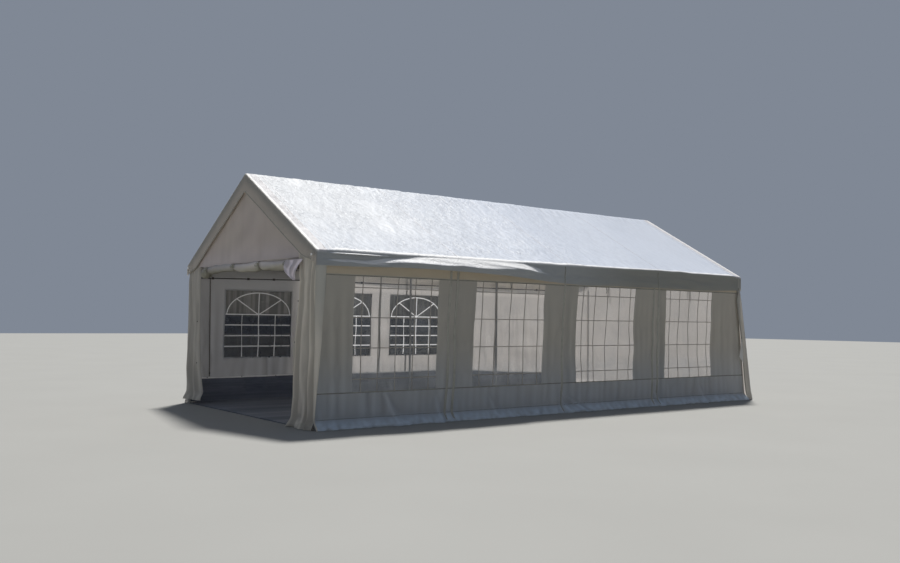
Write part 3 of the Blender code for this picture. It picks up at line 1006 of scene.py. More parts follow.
class RowTree(ShapeTree):
    """Copies of a small shape at even steps along each path, such as stitches or zip teeth."""

    TITLE = "row_along_paths"
    SOCKETS = {"Spacing": "NodeSocketFloat", "Shape": "NodeSocketObject"}

    def grow(self) -> Made:
        """Sets the shape on evenly spaced points, its X along the path and its Z facing out."""
        sockets = {"Curve": self.curves(), "Length": self.given("Spacing")}
        points = self.node("GeometryNodeResampleCurve", {"mode": "LENGTH"}, sockets)
        sockets = {"Rotation": self.outward(), "Vector": self.node("GeometryNodeInputTangent")}
        along = self.node("FunctionNodeAlignRotationToVector", {"axis": "X", "pivot_axis": "Z"}, sockets)
        return self.placed(points, along)


class SpotTree(ShapeTree):
    """A copy of a small shape at each point, its Z facing the way that the point says."""

    TITLE = "shape_at_points"
    SOCKETS = {"Shape": "NodeSocketObject"}

    def grow(self) -> Made:
        """Sets the shape on the mesh's own points."""
        points = self.node("GeometryNodeMeshToPoints", None, {0: self.given("Geometry")})
        return self.placed(points, self.outward())


class RibTree(ShapeTree):
    """Ribs across a flat mesh, where its height follows a rounded wave of X."""

    TITLE = "ribbed_matting"
    SOCKETS = {"Pitch": "NodeSocketFloat", "Height": "NodeSocketFloat"}

    def grow(self) -> Made:
        """Lifts each point by the wave at its X."""
        place = self.node("ShaderNodeSeparateXYZ", None, {0: self.node("GeometryNodeInputPosition")})
        turn = place.out(0) / self.given("Pitch") * (2 * math.pi)
        swell = self.node("ShaderNodeTexNoise", None, {"Scale": 0.9, "Detail": 2.0}).out("Fac")
        upper = place.out(2).step(0.002, 0.005)
        lift = (abs(turn.wave()) ** 0.6 * self.given("Height") + (swell - 0.2) * 0.004) * upper
        offset = self.node("ShaderNodeCombineXYZ", None, {2: lift})
        return self.node("GeometryNodeSetPosition", None, {0: self.given("Geometry"), "Offset": offset})


class Workshop:
    """The geometry trees, and the small shapes that they set in rows."""

    def __init__(self) -> None:
        """Builds every tree and small shape."""
        self.tape = TapeTree()
        self.cord = CordTree()
        self.row = RowTree()
        self.spot = SpotTree()
        self.ribs = RibTree()
        self.helpers: list[bpy.types.Object] = []

    def helper(self, name: str, make: Callable[[bmesh.types.BMesh], None]) -> bpy.types.Object:
        """A small shape for rows and spots, which is removed at the end."""
        mesh = bpy.data.meshes.new(name)
        shape = bmesh.new()
        make(shape)
        shape.to_mesh(mesh)
        shape.free()
        piece = bpy.data.objects.new(name, mesh)
        self.helpers.append(piece)
        return piece

    def block(self, name: str, size: Sequence[float]) -> bpy.types.Object:
        """A small block of that size on its own middle."""

        def make(shape: bmesh.types.BMesh) -> None:
            """Scales a cube."""
            bmesh.ops.create_cube(shape, size=1.0)
            bmesh.ops.scale(shape, vec=Vector(size), verts=shape.verts)

        return self.helper(name, make)

    def turned(self, name: str, profile: Sequence[tuple[float, float]], sides: int = 12) -> bpy.types.Object:
        """A small turned shape about Z.

        Args:
            name: Its name.
            profile: Radius and height from the bottom up; it starts and ends on the axis.
            sides: How many sides it has.

        Returns:
            The shape.
        """

        def make(shape: bmesh.types.BMesh) -> None:
            """Spins the profile and closes its poles."""
            chain = [shape.verts.new((radius, 0.0, height)) for radius, height in profile]
            edges = [shape.edges.new(pair) for pair in zip(chain, chain[1:])]
            sweep = {"axis": (0, 0, 1), "cent": (0, 0, 0), "angle": 2 * math.pi, "steps": sides}
            bmesh.ops.spin(shape, geom=chain + edges, **sweep)
            bmesh.ops.remove_doubles(shape, verts=shape.verts, dist=1e-6)
            bmesh.ops.recalc_face_normals(shape, faces=shape.faces)

        return self.helper(name, make)

    def tidy(self) -> None:
        """Removes the small shapes once nothing reads them."""
        for piece in self.helpers:
            mesh = piece.data
            bpy.data.objects.remove(piece)
            bpy.data.meshes.remove(mesh)


SHOP = Workshop()


@dataclass
class Studio:
    """Camera, pale floor and soft light."""

    eye: tuple[float, float, float] = (10.788, -8.739, 1.245)
    yaw: float = math.radians(-52.98)
    pitch: float = math.radians(2.59)
    roll: float = math.radians(0.65)
    lens: float = 35.12
    floor_reach: float = 60.0

    def camera(self) -> None:
        """Stands the camera where the photograph was taken."""
        data = bpy.data.cameras.new("camera")
        data.lens = self.lens
        data.sensor_width = 36.0
        camera = bpy.data.objects.new("camera", data)
        stance = Matrix.Translation(self.eye)
        for angle, axis in ((-self.yaw, "Z"), (math.pi / 2 + self.pitch, "X"), (self.roll, "Z")):
            stance = stance @ Matrix.Rotation(angle, 4, axis)
        camera.matrix_world = stance
        bpy.context.scene.collection.objects.link(camera)
        bpy.context.scene.camera = camera

    def floor(self) -> None:
        """Lays a plain pale floor."""
        mesh = bpy.data.meshes.new("studio_floor")
        signs = ((-1, -1), (1, -1), (1, 1), (-1, 1))
        reach = self.floor_reach
        mesh.from_pydata([(x * reach, y * reach, -0.002) for x, y in signs], [], [range(4)])
        surface = Surface("studio_floor")
        patches = surface.noise(surface.place, 0.6, 3.0)
        tone = surface.blend(patches, (0.235, 0.235, 0.225), (0.26, 0.26, 0.25))
        mesh.materials.append(surface.coat({"Base Color": tone, "Roughness": 0.85}))
        floor = bpy.data.objects.new("studio_floor", mesh)
        bpy.context.scene.collection.objects.link(floor)

    def light(self) -> None:
        """Hangs a soft key behind the tent, and lets a pale room fill the shade."""
        data = bpy.data.lights.new("key", "SUN")
        data.energy = 5.6
        data.angle = math.radians(7.0)
        data.color = (1.0, 0.975, 0.93)
        key = bpy.data.objects.new("key", data)
        key.rotation_mode = "QUATERNION"
        key.rotation_quaternion = Vector((-0.3, 0.3, 0.9)).to_track_quat("Z", "Y")
        bpy.context.scene.collection.objects.link(key)
        world = bpy.data.worlds.new("room")
        world.use_nodes = True
        maker = NodeMaker(world.node_tree)
        world.node_tree.nodes.clear()
        shade = maker.node("ShaderNodeBackground", None, {"Color": (0.72, 0.82, 1.0, 1.0), "Strength": 0.3})
        maker.node("ShaderNodeOutputWorld", None, {0: shade})
        bpy.context.scene.world = world
        bpy.context.scene.view_settings.view_transform = "Standard"

    def build(self) -> None:
        """Sets up the whole studio."""
        self.camera()
        self.floor()
        self.light()


@dataclass
class Sizes:
    """Places that the pieces share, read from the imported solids."""

    sleeve: float = 0.0225
    cloth: float = 0.005
    hem: float = 0.03
    ground_gap: float = 0.0015
    arch_count: int = 5

    def __post_init__(self) -> None:
        """Reads the high corners of the solids' boxes."""
        nodes = ("roof_cover", "right_eave_rail", "right_front_wall")
        cover, rail, wall = (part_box(node)[1] for node in nodes)
        self.half_width, self.half_length = cover.x, cover.y
        self.ridge_z = cover.z - self.cloth / 2
        self.wall_x, self.eave_axis_z = wall.x, wall.z
        self.gable_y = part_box("rear_gable_cloth")[1].y
        self.leg_x = rail.x - self.sleeve
        self.ridge_axis_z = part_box("ridge_rail")[1].z - self.sleeve
        self.slope = math.atan2(self.ridge_axis_z - self.eave_axis_z, self.leg_x)
        self.arches = np.linspace(self.sleeve - rail.y, rail.y - self.sleeve, self.arch_count)

    def bay(self, y: Array) -> Array:
        """How far between two arches y lies: 0 on an arch and 1 in the middle of a bay."""
        pitch = self.arches[1] - self.arches[0]
        return np.sin(math.pi * (np.clip(y, self.arches[0], self.arches[-1]) - self.arches[0]) / pitch) ** 2

    def hemmed(self, z: Array) -> Array:
        """Which flat heights lie on the hem at a cloth's foot."""
        return z < self.hem + 0.001

    def standing(self, z: Array, height: Array, foot: Array | float = 0.0) -> Array:
        """The heights, but just off the ground, or foot above that, where the flat height z is 0."""
        return np.where(z < 1e-4, self.ground_gap + foot, height)


SIZES = Sizes()


@dataclass
class RoofCover:
    """The pitched cover: one sheet over both slopes, down both eaves and over both gables."""

    eave_round: float = 0.03
    gable_round: float = 0.022
    valance: float = 0.265
    band: float = 0.225
    hem: float = 0.03
    sag: float = 0.035
    step_along: float = 0.025
    step_down: float = 0.054
    edge_ys: Sequence[float] = (-4.0, -3.8, -2.9, -2.4, -1.9, -1.2, -0.6, -0.1, 0.4, 1.0, 1.9, 3.0, 3.8, 4.0)
    edge_heights: Sequence[float] = (
        1.862, 1.862, 1.879, 1.88, 1.866, 1.848, 1.815, 1.788, 1.778, 1.787, 1.785, 1.782, 1.806, 1.815
    )
    fold_ys: Sequence[float] = (
        -4.0, -3.67, -3.32, -2.97, -2.6, -2.2, -1.6, -1.2, -0.85, -0.6, -0.4, -0.1, 4.0
    )
    laps: Sequence[float] = (0.6, 0.58, 0.5, 0.33, 0.1, 0, 0, 0, 0.06, 0.3, 0.45, 0.6, 0.6)
    folds: Sequence[float] = (0.08, 0.1, 0.17, 0.3, 0.48, 0.62, 0.6, 0.52, 0.4, 0.22, 0.12, 0.1, 0.1)
    tilts: Sequence[float] = (84, 66, 56, 52, 51, 52, 52, 52, 54, 60, 75, 85, 86)
    lip_ys: Sequence[float] = (-3.9, -3.6, -2.6, -1.0, 0.0, 1.2, 1.97, 2.7, 3.8)
    lips: Sequence[float] = (0.004, 0.011, 0.006, 0.008, 0.014, 0.016, 0.024, 0.015, 0.012)

    def __post_init__(self) -> None:
        """Works out the cloth's run from the ridge to the valance's edge."""
        self.round = SIZES.ridge_z - SIZES.ridge_axis_z
        self.slope = SIZES.slope
        reach = SIZES.half_width - SIZES.cloth / 2
        straight = reach - self.round * math.sin(self.slope) - self.eave_round * (1 - math.sin(self.slope))
        self.ridge_end = self.round * self.slope
        self.slope_end = self.ridge_end + straight / math.cos(self.slope)
        self.eave_end = self.slope_end + self.eave_round * (math.pi / 2 - self.slope)
        self.edge = self.eave_end + self.valance
        self.run = np.linspace(0.0, self.edge + 0.1, 4000)
        marks = [0.0, self.ridge_end, self.slope_end, self.eave_end]
        self.run_heading = np.interp(self.run, marks, [0.0, self.slope, self.slope, math.pi / 2])
        steps = np.diff(self.run, prepend=0.0)
        self.run_x = np.cumsum(np.cos(self.run_heading) * steps)
        self.run_z = SIZES.ridge_z - np.cumsum(np.sin(self.run_heading) * steps)
        self.gable_start = SIZES.half_length - self.gable_round
        self.gable_end = self.gable_start + self.gable_round * math.pi / 2
        self.wide, self.fine, self.ruffle = Noise(11), Noise(12), Noise(13)

    def bulge(self, run: Array, y: Array) -> Array:
        """How far the cloth stands off its straight run, along its own normal."""
        distance = np.abs(run)
        bay = SIZES.bay(y)
        flip = np.sign(run) * 7.3
        sag = -self.sag * bay * np.sin(math.pi * np.clip(distance / self.slope_end, 0.0, 1.0)) ** 0.8
        across, along = y + distance * 0.12, distance - y * 0.1
        calm = 0.35 + 0.65 * ease(3.0, -1.5, y)
        tracks = self.wide.creases(across * 3.1 + flip, along * 1.1) * 0.003
        crumple = self.fine.creases(across * 9.0, along * 5.5 + flip) * 0.0045
        crumple = crumple + self.fine.at(across * 5.0, along * 3.4 + flip) * 0.007
        slack_across, slack_along = distance * 0.755 - y * 0.656, y * 0.755 + distance * 0.656
        slack = self.wide.creases(slack_across * 3.6 + flip, slack_along * 0.6) * 0.005 * hump(y, -1.4, 1.2)
        pull = 0.012 * self.wide.at(y * 1.1, distance * 0.9 + 20.0) * bay
        ridge = self.ruffle.creases(y * 6.5, distance * 2.0) * 0.013 * np.exp(-distance / 0.22)
        ridge = ridge * ease(0.02, 0.09, distance)
        rim = self.ruffle.at(y * 7.0 + 40.0, distance * 2.0) * 0.006
        rim = rim * hump(distance, self.slope_end - 0.08, 0.14)
        lip = np.interp(y, self.lip_ys, self.lips) * (1 + 0.5 * self.wide.at(y * 2.3, 3.0))
        rim = rim + lip * hump(distance, self.slope_end - 0.014, 0.026)
        pucker = self.ruffle.at(distance * 13.0, y * 3.0 + 9.0) * hump(np.abs(y), 3.88, 0.09) * 0.011
        on_slope = ease(self.eave_end, self.slope_end - 0.12, distance)
        calm_edge = 0.12 + 0.88 * ease(self.gable_start, self.gable_start - 0.25, np.abs(y))
        on_slope_only = sag + ((tracks + crumple + slack) * calm + pull) * calm_edge + pucker
        return on_slope_only * on_slope + (ridge + rim) * calm_edge

    def eave(self, past: Array, y: Array, side: Array) -> Places:
        """The cloth past the slope's foot: how far out and down it lies, and its heading.

        It hangs straight on the left. On the right it drops over a lap, leans out over a long fold
        and hangs back under that to its hem; laps and folds are shares of the whole drop.
        """
        loose = ease(4.0, 3.8, np.abs(y)) * (side > 0)
        lap, fold, tilt = (np.interp(y, self.fold_ys, row) for row in (self.laps, self.folds, self.tilts))
        wander = self.wide.at(y * 1.9 + 7.0, 2.5)
        lap, fold = lap * (1 + 0.25 * wander), fold * (1 - 0.2 * wander)
        steep = np.sin(np.radians(tilt))
        cloth = (self.edge - self.slope_end) / (1 + fold * (1 / steep - 1))
        lap, fold = lap * cloth, fold / steep * cloth
        upright = math.pi / 2
        swing = loose * np.clip(fold / 0.4, 0.0, 1.0)
        tilted = upright + (np.radians(tilt) - upright) * loose
        turns = [upright + 0.02 * loose, tilted, upright + 0.24 * swing]
        out, fall = np.cos(self.slope) * past, np.sin(self.slope) * past
        before = self.slope
        for at, after in zip((0.007, 0.007 + lap, 0.007 + lap + fold), turns):
            gone = self.after(past - at) - self.after(-at)
            out = out + (np.cos(after) - np.cos(before)) * gone
            fall = fall + (np.sin(after) - np.sin(before)) * gone
            before = after
        return out, fall, self.slope + (upright - self.slope) * ease(0.0, 0.03, past)

    @staticmethod
    def after(reach: Array, soft: float = 0.006) -> Array:
        """A ramp that starts softly at 0."""
        return soft * np.logaddexp(0.0, reach / soft)

    def valance_folds(self, down: Array, y: Array, side: Array) -> Array:
        """How far the valance's small folds stand out, for the share down of its depth."""
        streak = hump(down, 0.3 + 0.42 * (y + 1.5) / 1.2, 0.09) * hump(y, -0.85, 0.5) * 0.013
        folds = self.fine.at(y * 1.6 - down * 1.8, down * 2.4 + side * 5.0 + y * 0.5) * 0.018
        small = self.ruffle.at(y * 5.0 + down * 3.0, down * 3.0) * 0.006 * ease(2.0, 0.0, y)
        streak = streak + hump(down, 0.2 + 0.02 * (y + 3.5), 0.055) * hump(y, -3.45, 0.36) * 0.03 * (side > 0)
        loose = ease(4.0, 3.7, np.abs(y))
        return (streak + (folds + small) * np.sin(math.pi * np.clip(down * 0.8, 0, 1))) * loose

    def place(self, run: Array, along: Array) -> Places:
        """Where a place of the flat cover lies on the tent.

        Args:
            run: Distance from the ridge along the cloth, positive to +X.
            along: Distance from the middle along the tent, and on down the gable bands.

        Returns:
            X, Y and Z.
        """
        side = np.sign(run)
        distance = np.abs(run)
        y = np.clip(along, -self.gable_start, self.gable_start)
        on_slope = np.minimum(distance, self.slope_end)
        past_eave = distance - on_slope
        out, fall, turned = self.eave(past_eave, y, side)
        whole = self.eave(np.full(y.shape, self.edge - self.slope_end), y, side)[1]
        foot_z = np.interp(self.slope_end, self.run, self.run_z)
        edge = np.interp(y, self.edge_ys, self.edge_heights) + 0.005 * self.fine.at(y * 1.9, side * 11.0)
        edge = edge + 0.08 * (side < 0)
        stretch = 1 + ((foot_z - edge) / whole - 1) * ease(0.0, 0.06, past_eave)
        down = np.clip((distance - self.slope_end) / (self.edge - self.slope_end), 0.0, 1.0)
        heading = np.where(past_eave > 0, turned, np.interp(on_slope, self.run, self.run_heading))
        off = self.bulge(run, y)
        past = np.maximum(np.abs(along) - self.gable_start, 0.0)
        turn = np.clip(past / self.gable_round, 0.0, math.pi / 2)
        hang = np.maximum(past - self.gable_round * math.pi / 2, 0.0)
        off = off * ease(self.gable_round * 2.5, 0.0, past)
        x = np.interp(on_slope, self.run, self.run_x) + out + off * np.sin(heading)
        x = x + np.where(past_eave > 0, self.valance_folds(down, y, side), 0.0)
        z = np.interp(on_slope, self.run, self.run_z) - fall * stretch + off * np.cos(heading)
        gathered = ease(self.slope_end - 0.42, self.eave_end - 0.02, distance)
        band_wave = self.fine.at(distance * 2.3 + 30.0, hang * 2.0) * 0.012 * ease(0.0, self.band, hang)
        band_wave = band_wave + np.sin(distance * 95.0) * 0.01 * gathered * ease(0.0, self.band * 0.5, hang)
        hang = hang * (1 - 0.4 * gathered)
        z = z - self.gable_round * (1 - np.cos(turn)) - hang
        reach = self.gable_start + self.gable_round * np.sin(turn) + band_wave
        return side * x, np.where(past > 0, np.sign(along) * reach, y), z

    def build(self) -> None:
        """Makes the cover, its hems and its stitching."""
        across = [0.0, self.ridge_end, self.slope_end, self.eave_end]
        half = np.concatenate(
            [
                lines(across[:2], 0.008),
                lines([self.ridge_end, self.slope_end - 0.075], self.step_down)[1:],
                lines([self.slope_end - 0.075, self.slope_end, self.eave_end], 0.0128)[1:],
                lines([self.eave_end, self.edge - self.hem, self.edge], 0.0145)[1:],
            ]
        )
        runs = np.concatenate([-half[:0:-1], half])
        inner = lines([0.0, self.gable_start], self.step_along)
        outer = lines([self.gable_start, self.gable_end], 0.012)[1:]
        rim = self.gable_end + self.band
        band = lines([self.gable_end, rim - self.hem, rim], 0.032)[1:]
        half_along = np.concatenate([inner, outer, band])
        along = np.concatenate([-half_along[:0:-1], half_along])

        def keep(run: Array, y: Array) -> Array:
            """Leaves out the four corners between valance and band."""
            return ~((np.abs(run) > self.eave_end) & (np.abs(y) > self.gable_end))

        def hem(run: Array, y: Array) -> Array:
            """The hems along the valances' and the bands' edges."""
            at_edge = np.abs(run) > self.edge - self.hem - 1e-6
            at_band = np.abs(y) > self.gable_end + self.band - self.hem - 1e-6
            return (at_edge | at_band).astype(float)

        sheet = ClothSheet("roof_cover_cloth", runs, along, self.place, COVER_CLOTH, keep=keep, hem=hem)
        area = 4 * self.edge * self.gable_end + 4 * self.band * self.eave_end
        sheet.fit(area=area, slot="cover_cloth", stands_for=["roof_cover"])
        self.seams()

    def stitching(self, run: Array, ys: Iterable[float], lift: float, facing: Callable) -> list[Path]:
        """Lines down both slopes.

        Args:
            run: Distances from the ridge of each line's points.
            ys: Where the lines lie along the flat cover.
            lift: How far they lie off the cloth.
            facing: Gives the way that they face for a slope's side and y.

        Returns:
            The lines.
        """
        paths = []
        for side, y in [(side, float(y)) for y in ys for side in (-1, 1)]:
            paths.append(Path.of(self.place(side * run, np.full(len(run), y)), facing(side, y), lift))
        return paths

    def seams(self) -> None:
        """The stitching by the rakes, the welds on the arches, the bands' edging and the valance's seams."""
        lay, slot = SHOP.tape.lay, "cover_cloth"
        lean, rise = math.sin(self.slope), math.cos(self.slope)
        ys = [*(end * at for end in (-1, 1) for at in (3.86, 3.79)), *SIZES.arches[1:-1]]
        run = np.linspace(0.05, self.slope_end, 60)
        paths = self.stitching(run, ys, 0.0018, lambda side, y: (side * lean, 0.0, rise))
        lay("roof_cover_seams", paths, COVER_SEAM, slot, Width=0.006, Thickness=0.0012)
        rim = self.gable_end + self.band - 0.012
        run = np.linspace(0.02, self.slope_end - 0.1, 60)
        paths = self.stitching(run, (-rim, rim), 0.003, lambda side, y: (0.0, math.copysign(1.0, y), 0.0))
        lay("roof_band_edging", paths, POCKET_TAPE, slot, Width=0.013, Thickness=0.0014)
        run = np.linspace(self.slope_end + 0.025, self.edge - 0.004, 24)
        paths = self.stitching(run, SIZES.arches[2:-1] - 0.09, 0.0025, lambda side, y: (side, 0.0, 0.0))
        lay("roof_valance_seams", paths, SEAM_TAPE, slot, Width=0.014, Thickness=0.0014)


@dataclass(frozen=True)
class Pleat:
    """A pointed fold at a wall's foot, from its tip down to the ground."""

    tip_y: float
    tip_z: float
    foot_y: float
    half_width: float
    depth: float

    def out(self, y: Array, z: Array) -> Array:
        """How far the pleat stands out of the wall."""
        down = np.clip((self.tip_z - z) / self.tip_z, 0.0, 1.0)
        crest = self.tip_y + (self.foot_y - self.tip_y) * down
        near = np.clip(1 - np.abs(y - crest) / (self.half_width * (0.15 + 0.85 * down)), 0.0, 1.0)
        return self.depth * down**0.8 * near


@dataclass
class Curtain:
    """How a long wall's cloth hangs: from a flat place to its place in the tent."""

    side: Side
    seed: int
    sway: float = 0.0
    pleats: Sequence[Pleat] = ()
    flare: float = 0.08
    skirt: float = 0.085
    tied_z: float = 1.78
    bow_foot: float = 0.4
    bow_height: float = 1.36
    rear: tuple[float, float, float] = (0.0, 0.0, 0.0)
    bows: Sequence[tuple[float, float]] = ((-4.0, 0.0), (4.0, 0.0))
    shifts: Sequence[tuple[float, float]] = ((-4.0, 0.0), (4.0, 0.0))

    def __post_init__(self) -> None:
        """Draws the wall's own folds."""
        self.folds, self.dents, self.hem_noise = Noise(self.seed), Noise(self.seed + 1), Noise(self.seed + 2)
        self.plane = SIZES.wall_x - SIZES.cloth / 2

    def place(self, y: Array, z: Array, lift: float = 0.0) -> Places:
        """Where a flat place of the wall hangs.

        Args:
            y: Distance along the tent.
            z: Height on the flat cloth.
            lift: How far outside the cloth's middle the place lies.

        Returns:
            X, Y and Z.
        """
        y, z = np.broadcast_arrays(np.asarray(y, float), np.asarray(z, float))
        free = ease(self.tied_z + 0.05, self.tied_z - 0.75, z)
        bay = SIZES.bay(y)
        belly = 0.012 * bay * np.sin(math.pi * np.clip(z / self.tied_z, 0, 1))
        uprights = self.folds.at(y * 4.2, z * 0.35) * 0.034 * free * (0.4 + 0.6 * bay)
        uprights = uprights + self.folds.at(y * 9.5 + 3.0, z * 0.8) * 0.018 * free
        uprights = uprights * (1 - 0.5 * hump(y, -3.75, 0.35))
        corner = hump(y, -SIZES.gable_y + 0.2, 0.22) * np.sin((y + SIZES.gable_y) * 34.0 + z * 1.2) * 0.007
        dents = self.dents.at(y * 2.3 + z * 0.8, z * 2.6 - y * 0.5) * 0.022 * free
        low = ease(self.skirt * 1.6, 0.0, z)
        ripple = self.hem_noise.at(y * 5.0, z * 6.0) * 0.03 + self.hem_noise.at(y * 13.0, z * 12.0) * 0.016
        folds = sum((pleat.out(y, z) for pleat in self.pleats), np.zeros(y.shape))
        out = belly + uprights + corner * free + dents + folds + low**1.3 * self.flare + low * ripple * 1.5
        gap, reach, spread = self.rear
        at_rear, low_share = ease(3.1, SIZES.gable_y, y), np.clip(1 - z / 1.9, 0, 1)
        out = np.maximum(out, -0.02 * bay) + lift + spread * at_rear * low_share
        inward = 1 - (y / SIZES.gable_y) ** 4
        arc = np.sin(math.pi * np.clip((z - self.bow_foot) / self.bow_height, 0, 1))
        bow = (np.interp(y, *np.transpose(self.bows)) - 0.35 * self.sway) * arc
        warp = self.dents.at(y * 1.7 + 9.0, z * 1.6) * 0.03 * free * inward
        lean = (self.sway * (z - 1.09) + bow) * inward + np.interp(y, *np.transpose(self.shifts))
        lean = lean - (gap * z / SIZES.eave_axis_z - reach * low_share) * at_rear
        sunk = np.maximum(z + low * (self.hem_noise.at(y * 5.0, 8.0) * 0.012), 0.001)
        return self.side.value * (self.plane + out), y + warp + lean, SIZES.standing(z, sunk)

    def path(self, ys: Array, zs: Array, lift: float) -> Path:
        """A path on the cloth through flat places."""
        return Path.of(self.place(ys, zs, lift), (float(self.side.value), 0.0, 0.0))


@dataclass
class Window:
    """One film window of a long wall, in the wall's flat places."""

    name: str
    low_y: float
    high_y: float
    low_z: float
    high_z: float
    pane: Pane

    @classmethod
    def of_node(cls, node: str, pane: Pane) -> "Window":
        """Reads a window's edges from its solid."""
        low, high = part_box(node)
        return cls(node, low.y, high.y, low.z, high.z, pane)

    @property
    def size(self) -> tuple[float, float]:
        """The window's width and height."""
        return self.high_y - self.low_y, self.high_z - self.low_z

    def holds(self, y: Array, z: Array) -> Array:
        """Which places lie inside the window."""
        return (y > self.low_y) & (y < self.high_y) & (z > self.low_z) & (z < self.high_z)


@dataclass
class LongWall:
    """One long wall: its cloth in two lengths, its windows, seams and tapes."""

    side: Side
    curtain: Curtain
    windows: list[Window]
    join_y: float
    front_name: str
    rear_name: str
    pockets: Sequence[float]
    film: FilmFinish
    finish: ClothFinish
    step: float = 0.024
    pocket: float = 0.034
    hem_seam_z: float = 0.112

    def build(self) -> None:
        """Makes the cloth, then what is welded to it."""
        self.rail = f"{self.side.word}_eave_rail"
        self.cloth(self.front_name, -SIZES.gable_y, self.join_y - 0.004)
        self.cloth(self.rear_name, self.join_y + 0.004, SIZES.gable_y)
        for window in self.windows:
            self.glaze(window)
        self.seams()
        self.bars()

    def cloth(self, node: str, low_y: float, high_y: float) -> None:
        """One length of the wall, with its window openings."""
        mine = [w for w in self.windows if low_y < (w.low_y + w.high_y) / 2 < high_y]
        edges = (edge for window in mine for edge in (window.low_y, window.high_y))
        marks_y = sorted({low_y, low_y + SIZES.hem, high_y - SIZES.hem, high_y, *edges})
        marks_z = sorted({0.1, SIZES.eave_axis_z, *(e for w in mine[:1] for e in (w.low_z, w.high_z))})
        lines_z = np.concatenate([lines([0.0, SIZES.hem, 0.1], 0.016), lines(marks_z, self.step)[1:]])

        def keep(y: Array, z: Array) -> Array:
            """Cuts the window openings."""
            return ~np.any([w.holds(y, z) for w in mine], axis=0) if mine else np.ones(y.shape, bool)

        def hem(y: Array, z: Array) -> Array:
            """The hems round the cloth's edges."""
            return np.any([SIZES.hemmed(gap) for gap in (z, y - low_y, high_y - y)], axis=0).astype(float)

        sheet = ClothSheet(
            f"{node}_cloth", lines(marks_y, self.step), lines_z, self.curtain.place, self.finish,
            keep=keep, hem=hem, outward=self.side.value,
        )
        area = (high_y - low_y) * SIZES.eave_axis_z - sum(math.prod(w.size) for w in mine)
        sheet.fit(area=area, stands_for=[node])

    def glaze(self, window: Window, lap: float = 0.018) -> None:
        """The film, welded behind the edge of its opening."""
        sheet = ClothSheet(
            f"{window.name}_film",
            lines([window.low_y - lap, window.high_y + lap], 0.04),
            lines([window.low_z - lap, window.high_z + lap], 0.04),
            self.curtain.place, self.film, thickness=0.0012, outward=self.side.value,
        )
        sheet.fit(slot=self.film.name, stands_for=[window.name])

    def upright(self, y: float, low_z: float, high_z: float, lift: float = 0.0) -> Path:
        """A path straight up the wall."""
        zs = lines([low_z, high_z], 0.03)
        return self.curtain.path(np.full(len(zs), y), zs, lift)

    def level(self, z: float, low_y: float, high_y: float, lift: float) -> Path:
        """A path level along the wall."""
        ys = lines([low_y, high_y], 0.03)
        return self.curtain.path(ys, np.full(len(ys), z), lift)

    def seams(self) -> None:
        """The welded seams that run along the wall and up its pockets."""
        lay, lift, thick = SHOP.tape.lay, 0.002, 0.0022
        end = SIZES.gable_y - 0.01
        spans = [(-end, self.join_y - 0.012), (self.join_y + 0.012, end)]
        name, window = f"{self.side.word}_wall", self.windows[0]
        if self.side is Side.RIGHT:
            rows = (window.high_z + 0.004, window.low_z - 0.004)
            paths = [self.level(z, low, high, lift) for z in rows for low, high in spans]
            lay(f"{name}_seams", paths, SEAM_TAPE, Width=0.012, Thickness=thick)
        paths = [self.upright(y, 0.03, SIZES.eave_axis_z - 0.02, lift) for y in self.pockets]
        lay(f"{name}_pockets", paths, POCKET_TAPE, Width=self.pocket, Thickness=thick)
        paths = [self.level(self.hem_seam_z, low, high, lift) for low, high in spans]
        lay(f"{name}_hem_seam", paths, SEAM_TAPE, Width=0.006, Thickness=thick)

    def bars(self) -> None:
        """The tapes over each window, in its pattern; those of the first arched one get a weak painted glow
        for shade, those of the other arched ones a strong painted glow for sunlight.
        """
        for window in self.windows:
            arched = WHITE_TAPE if window.name.endswith("_1") else SUN_TAPE
            if window.pane is Pane.GRID:
                paths, finish, width = self.grid(window), PANE_TAPE, 0.011
            else:
                paths, finish, width = self.fanlight(window), arched, 0.017
            SHOP.tape.lay(f"{window.name}_bars", paths, finish, Width=width, Thickness=0.0034)

    def grid(self, window: Window) -> list[Path]:
        """Five upright and four level tapes, the outer ones close to the edge."""
        width, height = window.size
        ups = [window.low_y + width * share for share in (0.09, 0.29, 0.5, 0.71, 0.91)]
        levels = [window.high_z - height * share for share in (0.098, 0.358, 0.622, 0.889)]
        paths = [self.upright(y, window.low_z, window.high_z) for y in ups]
        return paths + [self.level(z, window.low_y, window.high_y, 0.0002) for z in levels]

    def fanlight(self, window: Window) -> list[Path]:
        """A half round with spokes over a grid of four columns."""
        width, _ = window.size
        middle, radius = window.low_y + width / 2, width / 2 - 0.02
        spring = window.high_z - radius * 0.69
        rise = window.high_z - 0.028 - spring
        ups = [window.low_y + width * share for share in (0.25, 0.5, 0.75)]
        paths = [self.upright(y, window.low_z, spring) for y in ups]
        rows = np.linspace(window.low_z, spring, 5)[1:]
        paths += [self.level(z, window.low_y, window.high_y, 0.0002) for z in rows]
        turns = np.linspace(0.0, math.pi, 40)
        arch = (middle + radius * np.cos(turns), spring + rise * np.sin(turns))
        paths.append(self.curtain.path(*arch, 0.0004))
        reach = np.linspace(0.0, 1.0, 14)
        for turn in (math.pi / 4, math.pi / 2, 3 * math.pi / 4):
            spoke = (middle + reach * radius * math.cos(turn), spring + reach * rise * math.sin(turn))
            paths.append(self.curtain.path(*spoke, -0.0002))
        return paths


